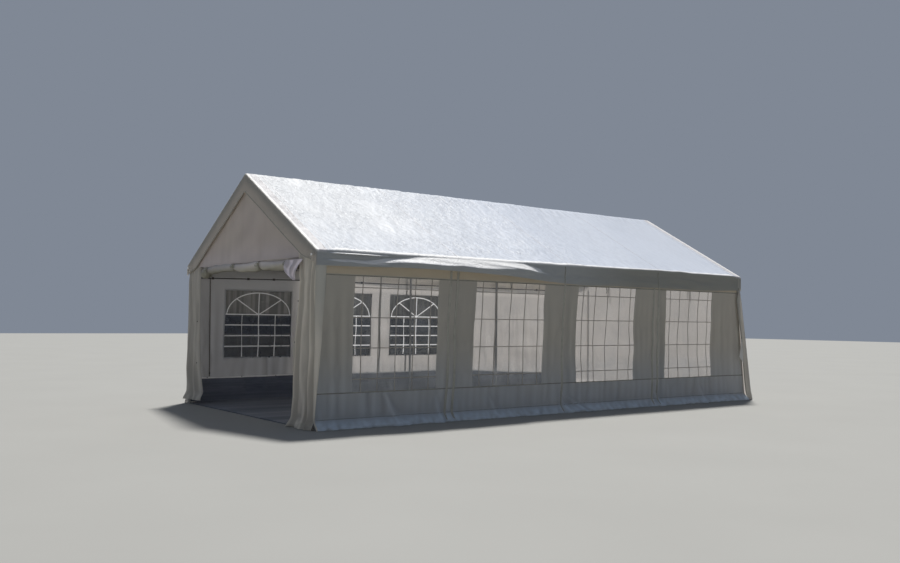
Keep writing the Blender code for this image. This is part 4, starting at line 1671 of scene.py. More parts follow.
@dataclass
class GableCloth:
    """The cloth that closes a gable above the door's head, up under the cover."""

    end: End
    seed: int
    low_z: float = 1.985
    under_cover: float = 0.0215
    fold: float = 0.022
    hem: float = 0.035
    step: float = 0.026

    def __post_init__(self) -> None:
        """Draws the gable's folds and finds its plane."""
        self.folds, self.pulls = Noise(self.seed), Noise(self.seed + 1)
        self.plane = SIZES.gable_y - SIZES.cloth / 2

    def top(self, x: Array) -> Array:
        """How high the cloth reaches at x."""
        rise = math.tan(SIZES.slope)
        return SIZES.ridge_axis_z - np.abs(x) * rise + self.under_cover / math.cos(SIZES.slope)

    def place(self, x: Array, share: Array) -> Places:
        """Where the cloth hangs at x, share of the way up."""
        flat_z = self.low_z + share * (self.top(x) - self.low_z)
        height = flat_z - self.low_z
        long_folds = 0.9 * self.folds.at(x * 2.0, height * 0.5)
        long_folds = long_folds + 0.35 * self.folds.at(x * 5.5 + 4.0, height * 1.1)
        pulls = self.pulls.at(x * 1.4 - height * 1.8, height * 2.4 + x * 0.9) * 0.7
        loose = ease(0.05, 0.4, self.top(x) - flat_z)
        out = self.fold * (long_folds + pulls) * loose * ease(-0.06, 0.12, height)
        out = np.clip(out, -0.03, 0.022)
        droop = (0.004 * np.sin(x * 5.1 + 1.0) + 0.003) * ease(0.2, 0.0, height)
        return x, self.end.value * (self.plane + out), flat_z - droop

    def build(self) -> None:
        """Makes the cloth with its lower hem."""
        name = f"{self.end.name.lower()}_gable_cloth"
        reach = SIZES.wall_x - SIZES.cloth
        height, side = (float(self.top(np.array(x))) - self.low_z for x in (0.0, reach))
        sheet = ClothSheet(
            f"{name}_sheet",
            lines([-reach, 0.0, reach], self.step),
            lines([0.0, self.hem / height, 1.0], self.step / height),
            self.place, GABLE_CLOTH, outward=-self.end.value,
            hem=lambda x, share: (share < self.hem / height + 1e-6).astype(float),
        )
        sheet.fit((2 * reach, height), reach * (height + side), stands_for=[name])


@dataclass
class RolledDoor:
    """The door panel of the front gable, rolled up and tied under the gable cloth."""

    seed: int = 71
    half_width: float = 1.47
    axis_y: float = -3.927
    axis_z: float = 1.9127
    radius: float = 0.064
    core: float = 0.018
    turns: float = 7.6
    steps_a_turn: int = 22
    ties: Sequence[float] = (-1.3, -0.38, 0.41, 1.2)
    pinch: float = 0.34
    tie_reach: float = 0.06
    clump: float = 0.2

    def __post_init__(self) -> None:
        """Draws the roll's creases."""
        self.creases, self.lumps = Noise(self.seed), Noise(self.seed + 1)

    @staticmethod
    def raised(x: Array) -> Array:
        """How far the roll is tied up over its plain height."""
        return 0.05 * hump(x, -0.85, 0.6) + 0.02 * hump(x, 0.3, 0.7)

    def girth(self, x: Array) -> Array:
        """How thick the roll is at x, against its plain radius."""
        tied = sum(hump(x, tie, self.tie_reach) for tie in self.ties)
        lump = 0.2 * self.lumps.at(x * 2.3, 1.0)
        return 1.08 - self.pinch * tied + self.clump * hump(x, -1.36, 0.12) + lump

    def section(self, x: Array, turn: Array) -> Places:
        """A point of the roll at x and at turn, in radians from the core outwards."""
        total = 2 * math.pi * self.turns
        share = turn / total
        radius = self.core + (self.radius - self.core) * share
        tied = sum(hump(x, tie, self.tie_reach * 1.5) for tie in self.ties)
        skin = share**3
        wrinkle = self.creases.at(x * 6.0 + turn * 0.5, turn * 1.1 - x * 2.0) * 0.02
        gather = np.sin(turn * 8.0 + x * 25.0) * 0.004 * tied
        long_crease = self.creases.creases(x * 1.3 + 5.0, turn * 1.7 + x * 0.8) * 0.01
        radius = radius * self.girth(x) + (wrinkle + gather - long_crease) * skin
        sag = 0.016 * (1 - np.clip(tied, 0, 1)) + 0.03 * hump(x, -1.4, 0.12) - self.raised(x)
        y = self.axis_y - radius * np.cos(turn)
        z = self.axis_z - sag + radius * 0.97 * np.sin(turn)
        return x, np.maximum(y, self.axis_y - 0.078), z

    def place(self, x: Array, run: Array) -> Places:
        """A point of the cloth: the roll for run below 1, and its flap up to the gable above that."""
        total = 2 * math.pi * self.turns
        x, y, z = self.section(x, np.minimum(run, 1.0) * total)
        up = np.clip((run - 1.0) / 0.02, 0.0, 1.0)
        ripple = 0.003 * self.creases.at(x * 6.0, up * 2.0)
        flap_y, flap_z = -SIZES.gable_y + 0.009 + ripple, 2.0
        return x, y + (flap_y - y) * ease(0, 1, up), z + (flap_z - z) * up

    def tie_paths(self) -> list[Path]:
        """A band round the roll at each tie, with its bow."""
        paths = []
        turns = np.linspace(0.0, 2 * math.pi, 30, endpoint=False)
        facing = np.stack([0 * turns, -np.cos(turns), np.sin(turns)], axis=-1)
        for number, tie in enumerate(self.ties):
            radius = self.radius * float(self.girth(np.array(tie))) + 0.004
            middle = (tie, self.axis_y, self.axis_z + float(self.raised(tie)))
            ring = (0.004 * np.sin(turns), -radius * np.cos(turns), radius * 0.97 * np.sin(turns))
            paths.append(Path(middle + np.stack(ring, axis=-1), facing, closed=True))
            paths += self.bow(tie, radius, number)
        return paths

    def bow(self, tie: float, radius: float, number: int) -> list[Path]:
        """Two loops and two tails in front of a tie."""
        knot = np.array([tie, self.axis_y - radius - 0.003, self.axis_z + float(self.raised(tie)) + 0.012])
        spread = np.random.default_rng(self.seed + number).uniform(0.8, 1.25, 4)
        around, fall = np.linspace(0.0, 2 * math.pi, 18), np.linspace(0.0, 1.0, 8)
        out = (1 - np.cos(around)) * 0.5
        facing = np.stack([0 * around, 0 * around - 0.55, np.cos(around) * 0.4 + 0.7], axis=-1)
        paths = []
        for side, size in ((1, spread[0]), (-1, spread[1])):
            drop = 0.018 * np.sin(around) - 0.016 * out * size
            loop = (side * 0.058 * size * out, -0.012 * out - 0.002, drop)
            paths.append(Path(knot + np.stack(loop, axis=-1), facing))
        for side, size in ((1, spread[2]), (-1, spread[3])):
            tail = (side * (0.008 + 0.02 * fall), -0.008 * np.sin(fall * 2.6) - 0.002, -0.085 * size * fall)
            paths.append(Path(knot + np.stack(tail, axis=-1), np.array([0.15 * side, -1.0, 0.1])))
        return paths

    def corner(self, across: Array, down: Array) -> Places:
        """The loose corner of the door that flops out of the roll's right end."""
        left = np.interp(down, (0.0, 0.3, 0.7, 1.0), (1.23, 1.25, 1.33, 1.44))
        right = np.interp(down, (0.0, 0.3, 0.7, 1.0), (1.66, 1.63, 1.54, 1.49))
        x = left + (right - left) * across + 0.012 * self.lumps.at(down * 4.0, across * 2.0)
        fold = np.abs(np.sin(across * 6.2 + down * 3.1)) * 0.036
        fold = fold + self.creases.at(across * 4.0, down * 3.0) * 0.02
        y = self.axis_y - 0.07 - 0.014 * np.sin(math.pi * down) - fold * (1 - 0.45 * down)
        z = self.axis_z + 0.035 - 0.24 * down - 0.03 * (1 - across) * (1 - down) * down
        return x, y, z

    def build(self) -> None:
        """Makes the roll, its loose corner and its ties."""
        across = lines([-self.half_width, self.half_width], 0.03)
        rolled = np.linspace(0.0, 1.0, int(self.turns * self.steps_a_turn))
        runs = np.concatenate([rolled, [1.005, 1.01, 1.02]])
        roll = ClothSheet("rolled_door_cloth", across, runs, self.place, ROLL_CLOTH, thickness=0.0016)
        flat = (2 * self.half_width, math.pi * (self.radius + self.core) * self.turns + 0.1)
        roll.fit(flat, stands_for=["rolled_door"])
        unit = lines([0.0, 1.0], 0.035)
        corner = ClothSheet("rolled_door_corner", unit, unit, self.corner, CORNER_CLOTH, thickness=0.0016)
        corner.fit((0.4, 0.3), 0.08)
        SHOP.tape.lay("rolled_door_ties", self.tie_paths(), TIE_WEBBING, Width=0.014, Thickness=0.0014)
        at = np.array(self.ties)
        fronts = self.axis_y - self.radius * self.girth(at) - 0.009
        knots = Path.of((at, fronts, self.axis_z + self.raised(at) + 0.012), (0.0, -1.0, 0.0))
        knot = SHOP.block("knot", (0.016, 0.014, 0.009))
        SHOP.spot.lay("rolled_door_knots", [knots], TIE_WEBBING, Shape=knot)


@dataclass
class DoorDrape:
    """A door-side curtain: gathered at its head, tied back to the leg, in soft upright folds."""

    side: Side
    seed: int
    folds: float
    edge_z: Sequence[float]
    edge_x: Sequence[float]
    toggles: Sequence[float] = (1.46, 0.98, 0.49)
    head_z: float = 2.03
    flat_width: float = 0.72
    depth: float = 0.05
    foot: float = 0.0

    def __post_init__(self) -> None:
        """Draws the folds."""
        self.noise = Noise(self.seed)
        self.outer_x = SIZES.wall_x - 0.006

    def inner(self, z: Array) -> Array:
        """Where the drape's free edge hangs at height z."""
        return np.interp(z, self.edge_z, self.edge_x)

    def place(self, across: Array, z: Array, lift: float = 0.0) -> Places:
        """Where the drape hangs, across from the leg to its free edge."""
        edge = self.inner(z) + 0.010 * self.noise.at(z * 3.1, 2.0)
        drift = 0.6 * self.noise.at(z * 0.9, across * 1.6)
        drift = drift + 0.14 * self.noise.at(z * 2.4, across * 2.5 + 7.0)
        phase = 2 * math.pi * (self.folds * (across + 0.05 * np.sin(across * 9.0 + self.seed)) + drift)
        grown = (0.45 + 0.55 * ease(1.9, 0.4, z)) * (1 - 0.6 * ease(1.75, 1.95, z))
        crest = np.abs(np.sin(phase / 2)) * 0.4 + 0.6 * (0.5 - 0.5 * np.cos(phase))
        depth = self.depth * grown * (0.8 + 0.8 * self.noise.at(across * 3.0, z * 0.7 + 5.0))
        out = depth * crest * ease(0.0, 0.08, across)
        out = out + 0.008 * self.noise.at(across * 5.0, z * 3.0)
        out = out + 0.004 * self.noise.at(across * 11.0, z * 5.0)
        flare = ease(0.14, 0.0, z)
        out = out + flare * (0.045 + 0.05 * self.noise.at(across * 5.0, 3.0 + z * 5.0))
        curl = 0.02 * ease(0.93, 1.0, across)
        slide = -0.35 * np.sin(phase) * depth * ease(0, 0.15, across) * ease(1.0, 0.85, across)
        x = self.outer_x + (edge - self.outer_x) * across + slide
        y = -(SIZES.gable_y - SIZES.cloth + 0.004 + out - curl + lift)
        standing = SIZES.standing(z, z, 0.006 * ease(0, 1, across))
        return self.side.value * x, y, standing + self.foot * ease(0.7, 0.0, z)

    def build(self) -> None:
        """Makes the drape and the toggles down its edge."""
        name = f"{self.side.word}_door_drape"
        sheet = ClothSheet(
            f"{name}_cloth", lines([0.0, 0.96, 1.0], 0.0125), lines([0.0, SIZES.hem, self.head_z], 0.026),
            self.place, DRAPE_CLOTH, hem_thickness=0.004, outward=-self.side.value,
            hem=lambda across, z: (SIZES.hemmed(z) | (across > 0.96)).astype(float),
        )
        sheet.fit((self.flat_width, self.head_z), stands_for=[name])
        spots = Path.of(self.place(0.9, np.array(self.toggles), 0.006), (0.0, -1.0, 0.0))
        profile = [(0, 0), (0.008, 0.0), (0.009, 0.004), (0.006, 0.008), (0, 0.009)]
        toggle = SHOP.turned("drape_toggle", profile)
        SHOP.spot.lay(f"{name}_toggles", [spots], DARK_PLASTIC, Shape=toggle)


@dataclass
class FrontReturn:
    """The right drape's outer edge, turned round the corner on to the long wall."""

    curtain: Curtain
    edge_z: Sequence[float] = (0.0, 0.3, 0.8, 1.4, 1.75, 2.0)
    edge_y: Sequence[float] = (-3.98, -3.96, -3.92, -3.88, -3.86, -3.85)
    start_y: float = -3.995
    top_z: float = 2.0

    def place(self, across: Array, z: Array) -> Places:
        """Where the strip lies, across from the corner to its edge on the wall."""
        y = self.start_y + (np.interp(z, self.edge_z, self.edge_y) - self.start_y) * across
        bulge = 0.013 * np.sin(math.pi * np.clip(across, 0, 1)) * (1 + 0.5 * np.sin(z * 4.0))
        x = self.curtain.place(np.maximum(y, -SIZES.gable_y), z, 0.006 + bulge * ease(2.0, 1.8, z))[0]
        return x, y, SIZES.standing(z, z)

    def build(self) -> None:
        """Makes the strip."""
        across, heights = lines([0.0, 1.0], 0.1), lines([0.0, 0.1, self.top_z], 0.03)
        strip = ClothSheet("right_front_return_cloth", across, heights, self.place, DRAPE_CLOTH)
        strip.fit((0.1, self.top_z))


@dataclass
class Zip:
    """A zip: two tapes, a row of teeth and a slider, on a straight line."""

    name: str
    foot: Sequence[float]
    head: Sequence[float]
    facing: Sequence[float]
    across: Sequence[float]
    tape: float = 0.016
    tooth: float = 0.009

    def build(self) -> None:
        """Makes the tapes, the teeth and the slider."""
        given = (self.foot, self.head, self.across, self.facing)
        foot, head, across, out = (np.array(vector, float) for vector in given)
        line = foot + (head - foot) * np.linspace(0.0, 1.0, 24)[:, None]
        tapes = [Path(line + across * side * self.tape * 0.62 + out * 0.001, out) for side in (-1, 1)]
        SHOP.tape.lay(f"{self.name}_tapes", tapes, ZIP_TAPE, Width=self.tape, Thickness=0.0016)
        block = SHOP.block("zip_tooth", (0.0045, self.tooth, 0.0028))
        row = Path(line[[0, -1]] + out * 0.0032, out)
        SHOP.row.lay(f"{self.name}_teeth", [row], DARK_PLASTIC, Spacing=0.0095, Shape=block)
        slider = SHOP.block("zip_slider", (0.026, 0.014, 0.007))
        pull = foot + (head - foot) * 0.03 + out * 0.0075
        SHOP.spot.lay(f"{self.name}_slider", [Path(pull[None, :], out)], DARK_PLASTIC, Shape=slider)


@dataclass
class RearDoor:
    """The closed rear gable: two side panels and the door panel zipped between them."""

    seed: int = 91
    top_z: float = 2.005
    tuck: float = 0.006
    tie_drop: float = 0.34
    tied_z: float = 1.9
    turn_in: float = 0.17
    step: float = 0.034
    fine_z: float = 0.16
    zip_x: float = 1.5
    proud: float = 0.016
    tie_xs: Sequence[float] = (-0.95, 0.0, 0.95)
    tie_top_z: float = 1.99

    def __post_init__(self) -> None:
        """Draws the panels' folds."""
        self.folds, self.hem_noise = Noise(self.seed), Noise(self.seed + 1)
        self.plane = SIZES.gable_y - SIZES.cloth / 2 - self.tuck

    def place(self, x: Array, z: Array, lift: float = 0.0) -> Places:
        """Where the closed rear wall hangs."""
        free = ease(1.98, 1.3, z)
        low = ease(0.16, 0.0, z)
        uprights = self.folds.at(x * 3.6, z * 0.4) * 0.016
        dents = self.folds.at(x * 1.9 + z, z * 2.3 - x * 0.6) * 0.011
        ends = ease(SIZES.wall_x, SIZES.wall_x - 0.2, np.abs(x))
        ruffle = self.hem_noise.at(x * 6.0, z * 7.0) * 0.02
        out = (uprights + dents) * free * ends + low * (0.022 + ruffle)
        y = self.plane + np.maximum(out, -0.012) + self.billow(x, z) + lift
        return x, y, SIZES.standing(z, z)

    def billow(self, x: Array, z: Array) -> Array:
        """How far the right panel stands out towards its foot."""
        return 0.205 * np.clip(1 - z / self.tied_z, 0, 1) * ease(0.9, SIZES.wall_x - SIZES.cloth, x)

    def side_strip(self, back: Array, z: Array) -> Places:
        """The right panel's edge, turned round the corner: back runs from the corner towards the front."""
        edge = SIZES.wall_x - SIZES.cloth
        corner_y = self.place(np.full(z.shape, edge), z)[1]
        share = back / self.turn_in
        bulge = 0.024 * np.sin(np.clip(share * 2.2, 0, 1) * math.pi / 2)
        bulge = bulge + 0.008 * self.folds.at(z * 3.0, share * 1.5)
        x = edge + bulge + 0.095 * np.clip(1 - z / self.tied_z, 0, 1) * ease(0.0, 0.3, share)
        reach = back * (1 + 0.2 * ease(1.2, 0.0, z)) * (1 - 0.75 * ease(1.62, 1.84, z))
        y = corner_y + 0.045 * ease(1.84, 1.6, z) - reach
        return x, y, SIZES.standing(z, z)

    @staticmethod
    def flap(across: Array, down: Array) -> Places:
        """A small pointed flap of the wall's edge that stands out in the light beside the strip."""
        low_y, low_z = 3.835 + (3.943 - 3.835) * across, 0.713 + (0.607 - 0.713) * across
        bend = 0.008 * np.sin(math.pi * down)
        return 2.05 + bend + 0.02 * down, 3.926 + (low_y - 3.926) * down, 1.029 + (low_z - 1.029) * down

    def build(self) -> None:
        """Makes the three panels, the zips between them and the door's ties."""
        low_part = lines([0.0, SIZES.hem, self.fine_z], 0.018)
        heights = np.concatenate([low_part, lines([self.fine_z, self.top_z], self.step)[1:]])
        for node in ("rear_left_panel", "rear_door_panel", "rear_right_panel"):
            low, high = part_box(node)
            sheet = ClothSheet(
                f"{node}_cloth", lines([low.x, high.x], self.step * 0.8), heights, self.place, SUNNY_CLOTH,
                hem=lambda x, z: SIZES.hemmed(z).astype(float), outward=-1,
            )
            sheet.fit(stands_for=[node])
        self.turned_edge()
        for name, x in (("left", -self.zip_x), ("right", self.zip_x)):
            foot, head = ((x, self.plane + self.proud + float(self.billow(x, z)), z) for z in (0.02, 1.93))
            Zip(f"rear_{name}_zip", foot, head, (0, 1, 0), (1, 0, 0)).build()
        self.ties()

    def turned_edge(self) -> None:
        """Makes the strip round the corner, the small flap beside it and the tape on its edge."""
        backs, heights = lines([0.0, self.turn_in], 0.012), lines([0.0, self.top_z], 0.04)
        strip = ClothSheet(
            "rear_right_return_cloth", backs, heights, self.side_strip, RETURN_CLOTH, outward=-1
        )
        strip.fit((self.turn_in * 1.25, self.top_z))
        across, down = lines([0.0, 1.0], 0.2), lines([0.06, 1.0], 0.1)
        flap = ClothSheet("rear_right_flap", across, down, self.flap, FLAP_CLOTH)
        flap.fit((0.16, 0.38), 0.024)
        edge = np.stack(self.side_strip(np.full(len(heights), self.turn_in), heights), axis=-1)[2:-4]
        path = Path(edge + [0.004, -0.004, 0.0], np.array([1.0, 0.0, 0.0]))
        SHOP.tape.lay("rear_return_edging", [path], SEAM_TAPE, Width=0.02, Thickness=0.002)

    def ties(self) -> None:
        """Makes the pairs of tapes that hold the door when it is rolled up."""
        fall = np.linspace(0.0, 1.0, 14)
        paths = []
        for x, side, share in [(x, *pair) for x in self.tie_xs for pair in ((-1, 0.82), (1, 1.0))]:
            xs = x + side * (0.012 + 0.02 * fall)
            zs = self.tie_top_z - self.tie_drop * fall * share
            ys = np.maximum(self.place(xs, zs)[1], self.plane) + self.proud + 0.004 * np.sin(fall * 5.0 + x)
            paths.append(Path.of((xs, ys, zs), (0.0, 1.0, 0.0)))
        SHOP.tape.lay("rear_door_ties", paths, TIE_WEBBING, Width=0.016, Thickness=0.0014)


@dataclass
class Matting:
    """The ribbed floor matting, cut round the foot plates."""

    pitch: float = 0.024
    rib: float = 0.004
    bed: float = 0.006
    notch_gap: float = 0.003

    def build(self) -> None:
        """Makes the matting, with its ribs along the tent."""
        low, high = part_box("floor_matting")
        feet = [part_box(f"{s}_leg_{i}") for s in ("right", "left") for i in range(1, 6)]
        gap = self.notch_gap
        marks_x = sorted({low.x, high.x, feet[0][0].x - gap, feet[5][1].x + gap})
        marks_y = {low.y, high.y}
        for foot_low, foot_high in feet:
            marks_y |= {max(low.y, foot_low.y - gap), min(high.y, foot_high.y + gap)}
        lines_x, lines_y = lines(marks_x, self.pitch / 4), lines(sorted(marks_y), 0.25)

        def keep(x: Array, y: Array) -> Array:
            """Cuts a notch round each foot plate."""
            cut = np.zeros(x.shape, bool)
            for foot_low, foot_high in feet:
                inside_x = (x > foot_low.x - gap) & (x < foot_high.x + gap)
                cut |= inside_x & (y > foot_low.y - gap) & (y < foot_high.y + gap)
            return ~cut

        def place(x: Array, y: Array) -> Places:
            """The matting's flat middle."""
            return x, y, np.full(x.shape, self.bed / 2 + 0.0004)

        sheet = ClothSheet("floor_matting_base", lines_x, lines_y, place, MATTING, self.bed, keep)
        base = sheet.build()
        mesh = base.data
        bpy.data.objects.remove(base)
        piece = SHOP.ribs.mesh("floor_matting_ribbed", mesh, MATTING, Pitch=self.pitch, Height=self.rib)
        settle(piece, "matting", ["floor_matting"])


@dataclass
class MattingUpstand:
    """The matting's edge, turned up along the inside of the left wall."""

    curtain: Curtain
    top_z: float = 0.36
    end_gap: float = 0.05

    @staticmethod
    def share(y: Array) -> Array:
        """How much of its height the strip has: it sinks towards the rear."""
        return np.interp(y, (1.2, 3.9), (1.0, 0.6))

    def place(self, y: Array, z: Array) -> Places:
        """Where the strip stands: against the wall, but straight down where the wall flares."""
        z = 0.012 + (z - 0.012) * self.share(y)
        x, at_y, _ = self.curtain.place(y, np.maximum(z, 0.17), -0.009)
        inner = self.curtain.side.value * (SIZES.wall_x - SIZES.cloth - 0.004)
        down = ease(0.2, 0.0, z)
        return x + (inner - x) * down, at_y, z + 0.006 * np.sin(y * 2.3) * ease(0.05, self.top_z, z)

    def build(self) -> None:
        """Makes the turned-up strip, the tape along its top and the toggles that hold it."""
        reach = SIZES.gable_y - self.end_gap
        ys = lines([-reach, reach], 0.04)
        strip = ClothSheet(
            "matting_upstand", ys, lines([0.012, self.top_z], 0.03), self.place, UPSTAND,
            thickness=0.0022, outward=self.curtain.side.value,
        )
        strip.fit((2 * reach, self.top_z), slot="matting")
        line = self.curtain.path(ys, self.top_z * self.share(ys) + 0.006 * np.sin(ys * 2.3), -0.0115)
        line.facing = -line.facing
        SHOP.tape.lay("matting_upstand_tape", [line], EDGE_TAPE, Width=0.02, Thickness=0.0016)
        ys = np.linspace(-reach + 0.25, reach - 0.25, 14)
        dots = self.curtain.path(ys, self.top_z * self.share(ys), -0.0125)
        dots.facing = -dots.facing
        profile = [(0, 0), (0.007, 0.0), (0.007, 0.003), (0.004, 0.006), (0, 0.006)]
        toggle = SHOP.turned("small_toggle", profile, 10)
        SHOP.spot.lay("matting_upstand_toggles", [dots], DARK_PLASTIC, Shape=toggle)


@dataclass
class InsideLine:
    """A dark line that hangs inside a long wall under its eave, with toggles on it."""

    curtain: Curtain
    heights: tuple[Sequence[float], Sequence[float]] = ((-3.8, -2.3), (1.85, 1.876))
    toggles: Sequence[float] = (-3.86, -3.62, -3.05, -2.62, -2.0, -1.0, 0.0, 1.0, 2.0, 3.0)

    def build(self) -> None:
        """Makes the line and its toggles."""
        reach = SIZES.gable_y - 0.05
        ys = lines([-reach, reach], 0.04)
        line = self.curtain.path(ys, np.interp(ys, *self.heights), -0.008)
        SHOP.cord.lay("left_wall_inside_line", [line], DARK_TAPE, Radius=0.008, Sides=8)
        spots = np.array(self.toggles)
        dots = self.curtain.path(spots, np.interp(spots, *self.heights), -0.014)
        shape = SHOP.block("line_toggle", (0.034, 0.034, 0.014))
        SHOP.spot.lay("left_wall_line_toggles", [dots], DARK_PLASTIC, Shape=shape)


@dataclass
class WindowHooks:
    """Short dark loops that hang inside the tops of the right-hand windows."""

    curtain: Curtain
    places: Sequence[float] = (-1.1, 0.74)
    top_z: float = 1.765
    drop: float = 0.09

    def build(self) -> None:
        """Makes the loops."""
        fall = np.linspace(0.0, 1.0, 8)
        sway = 0.02 * fall - 0.018 * ease(0.7, 1.0, fall)
        paths = [self.curtain.path(at + sway, self.top_z - self.drop * fall, -0.008) for at in self.places]
        SHOP.cord.lay("right_window_hooks", paths, DARK_PLASTIC, Radius=0.005, Sides=8)


@dataclass
class FrameDress:
    """The steel frame's finish, with the snap buttons and pegs that hold it."""

    sleeve_reach: float = 0.068
    peg_marks: tuple[float, float] = (0.022, 0.098)
    plate_top: float = 0.0115

    def build(self) -> None:
        """Gives the tubes their steel, and sets the buttons and pegs."""
        for name, node in FRAME["nodes"].items():
            if any(word in name for word in ("_leg_", "_rafter_", "_rail")):
                node.material_slots[0].material = PAINTS.of(STEEL)
        profile = [(0, -0.002), (0.0055, -0.002), (0.0055, 0.003), (0.0035, 0.0052), (0, 0.006)]
        button = SHOP.turned("snap_button", profile)
        SHOP.spot.lay("frame_buttons", [self.buttons()], BRIGHT_STEEL, "frame_steel", Shape=button)
        profile = [(0, -0.004), (0.014, -0.004), (0.014, 0.0), (0.009, 0.004), (0.004, 0.006), (0, 0.006)]
        peg = SHOP.turned("ground_peg", profile)
        lows = [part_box(f"{side.word}_leg_{number}")[0] for side in Side for number in range(1, 6)]
        near, far = self.peg_marks
        corners = ((near, near), (far, far), (near, far), (far, near))
        points = [(low.x + dx, low.y + dy, self.plate_top) for low in lows for dx, dy in corners]
        feet = Path(np.array(points), np.array([0.0, 0.0, 1.0]))
        SHOP.spot.lay("frame_pegs", [feet], STEEL, "frame_steel", Shape=peg)

    def buttons(self) -> Path:
        """Where the snap buttons stand and which way they face."""
        reach, lean, rise = self.sleeve_reach, math.sin(SIZES.slope), math.cos(SIZES.slope)
        spots = []
        for arch, sign in [(arch, float(side.value)) for arch in SIZES.arches for side in Side]:
            eave = np.array([sign * SIZES.leg_x, arch, SIZES.eave_axis_z])
            ridge = np.array([0.0, arch, SIZES.ridge_axis_z])
            down_slope = np.array([sign * rise, 0.0, -lean])
            inward, under = np.array([-sign, 0.0, 0.0]), np.array([-sign * lean, 0.0, -rise])
            spots += [(eave + [0, 0, -reach], inward), (eave - down_slope * reach, under)]
            spots.append((ridge + down_slope * reach, under))
            steps = [step for step in (-reach, reach) if abs(arch + step) < SIZES.arches[-1]]
            spots += [(eave + [0.0, step, 0.0], inward) for step in steps]
        points, facings = (np.array(column) for column in zip(*spots))
        return Path(points + facings * SIZES.sleeve, facings)


@dataclass
class BallBungees:
    """White balls on elastic loops that hold the cover's corners to the frame."""

    ball: float = 0.0145
    cord: float = 0.0022
    from_side: float = 0.085
    height: float = 1.985
    front: float = 4.003

    def build(self) -> None:
        """Makes a ball and its loop at each of the cover's corners."""
        profile = [(self.ball * math.sin(t), -self.ball * math.cos(t)) for t in np.linspace(0, math.pi, 11)]
        profile[0], profile[-1] = (0.0, -self.ball), (0.0, self.ball)
        shape = SHOP.turned("ball", profile, 16)
        rim = [(0, -0.0015), (0.011, -0.0015), (0.0115, 0.0005), (0.009, 0.002), (0.006, 0.0012), (0, 0.0012)]
        ring = SHOP.turned("eyelet", rim, 16)
        turns = np.linspace(0.15, 2 * math.pi - 0.15, 24)
        front = self.front + self.ball
        back = (front - SIZES.arches[-1] + 0.03) * (1 - np.cos(turns)) / 2
        balls, eyelets, loops = [], [], []
        for end, side in [(end.value, side.value) for end in End for side in Side]:
            x, out = side * (SIZES.half_width - self.from_side), (0.0, end, 0.0)
            balls.append(Path.of(([x], end * front, self.height), out))
            eyelets.append(Path.of(([x], end * self.front, self.height), out))
            loop = (x + 0.012 * np.sin(turns), end * (front - back), self.height)
            loops.append(Path.of(loop, (0.0, 0.0, 1.0)))
        SHOP.spot.lay("bungee_balls", balls, WHITE_PLASTIC, "cover_cloth", Shape=shape)
        SHOP.spot.lay("corner_eyelets", eyelets, BRIGHT_STEEL, "frame_steel", Shape=ring)
        SHOP.cord.lay("bungee_elastics", loops, WHITE_PLASTIC, "cover_cloth", Radius=self.cord, Sides=8)


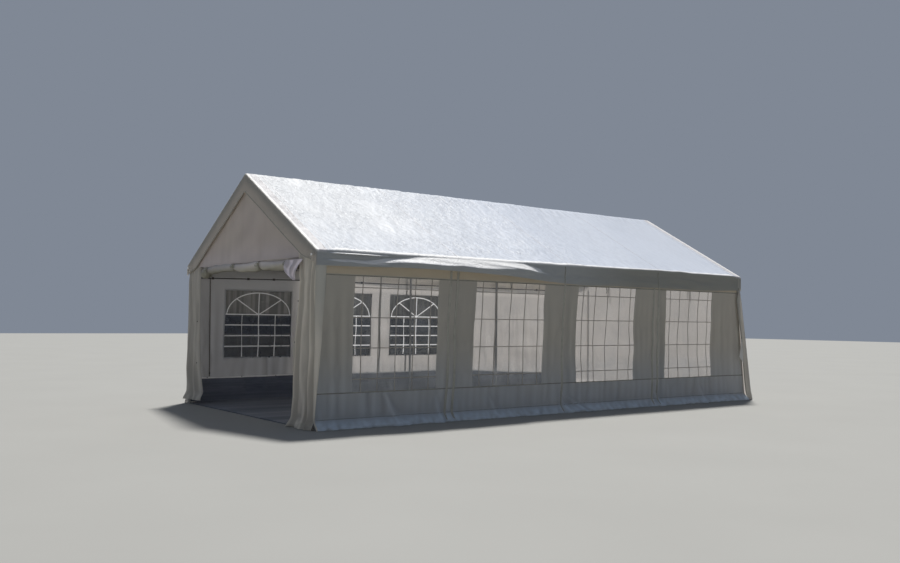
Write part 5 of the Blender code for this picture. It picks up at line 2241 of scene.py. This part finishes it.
def main() -> None:
    """Builds the tent piece by piece."""
    logging.basicConfig(level=logging.INFO, format="%(name)s: %(message)s")
    Studio().build()
    FrameDress().build()
    RoofCover().build()
    right = [Window.of_node(f"right_window_{i}", Pane.GRID) for i in range(1, 5)]
    left = [Window.of_node(f"left_window_{i}", Pane.FANLIGHT) for i in range(1, 4)]
    pleats = (
        Pleat(-3.03, 0.41, -2.84, 0.17, 0.07),
        Pleat(-2.27, 0.34, -2.2, 0.13, 0.045),
        Pleat(-0.1, 0.2, 0.02, 0.09, 0.045),
        Pleat(-0.02, 0.24, 0.34, 0.1, 0.045),
        Pleat(1.83, 0.24, 1.95, 0.1, 0.035),
        Pleat(-1.4, 0.3, -1.25, 0.14, 0.03),
        Pleat(2.9, 0.3, 3.0, 0.14, 0.03),
    )
    bows = (
        (-4.0, 0.0), (-3.48, -0.03), (-2.28, 0.0), (1.37, -0.02),
        (2.03, 0.01), (3.23, -0.08), (3.6, -0.02), (4.0, 0.0),
    )
    shifts = ((-4.0, 0.0), (1.9, 0.0), (2.03, 0.045), (3.23, 0.0), (4.0, 0.0))
    right_curtain = Curtain(Side.RIGHT, 31, 0.045, pleats, rear=(0.085, 0.06, 0.06), bows=bows, shifts=shifts)
    pleats = (Pleat(-1.2, 0.3, -1.1, 0.12, 0.03), Pleat(2.4, 0.4, 2.6, 0.15, 0.04))
    left_curtain = Curtain(Side.LEFT, 41, 0.01, pleats)
    LongWall(
        Side.RIGHT, right_curtain, right, -0.1, "right_front_wall", "right_rear_wall",
        (-2.1, -1.99, -0.1, 1.79, 1.9), CLEAR_FILM, WALL_CLOTH,
    ).build()
    LongWall(
        Side.LEFT, left_curtain, left, 1.97, "left_window_wall", "left_rear_wall",
        (-0.61, -0.07, 1.97), SMOKED_FILM, SUNNY_CLOTH, pocket=0.03,
    ).build()
    InsideLine(left_curtain).build()
    WindowHooks(right_curtain).build()
    GableCloth(End.FRONT, 51).build()
    GableCloth(End.REAR, 53).build()
    RolledDoor().build()
    DoorDrape(
        Side.RIGHT, 61, 2.9, (0.0, 0.09, 0.34, 0.53, 0.98, 1.34, 1.68, 1.85, 2.03),
        (1.37, 1.42, 1.44, 1.41, 1.43, 1.49, 1.55, 1.52, 1.48),
    ).build()
    DoorDrape(
        Side.LEFT, 63, 2.1, (0.0, 0.1, 0.5, 0.9, 1.5, 2.03), (1.36, 1.38, 1.5, 1.55, 1.55, 1.6), (1.2, 0.6),
        flat_width=0.5, foot=0.07,
    ).build()
    FrontReturn(right_curtain).build()
    RearDoor().build()
    x = -SIZES.wall_x + 0.009
    Zip("left_wall_zip", (x, -3.635, 0.38), (x, -3.655, 1.85), (1, 0, 0), (0, 1, 0), 0.008, 0.012).build()
    Matting().build()
    MattingUpstand(left_curtain).build()
    BallBungees().build()
    SHOP.tidy()


if __name__ == "__main__":
    main()
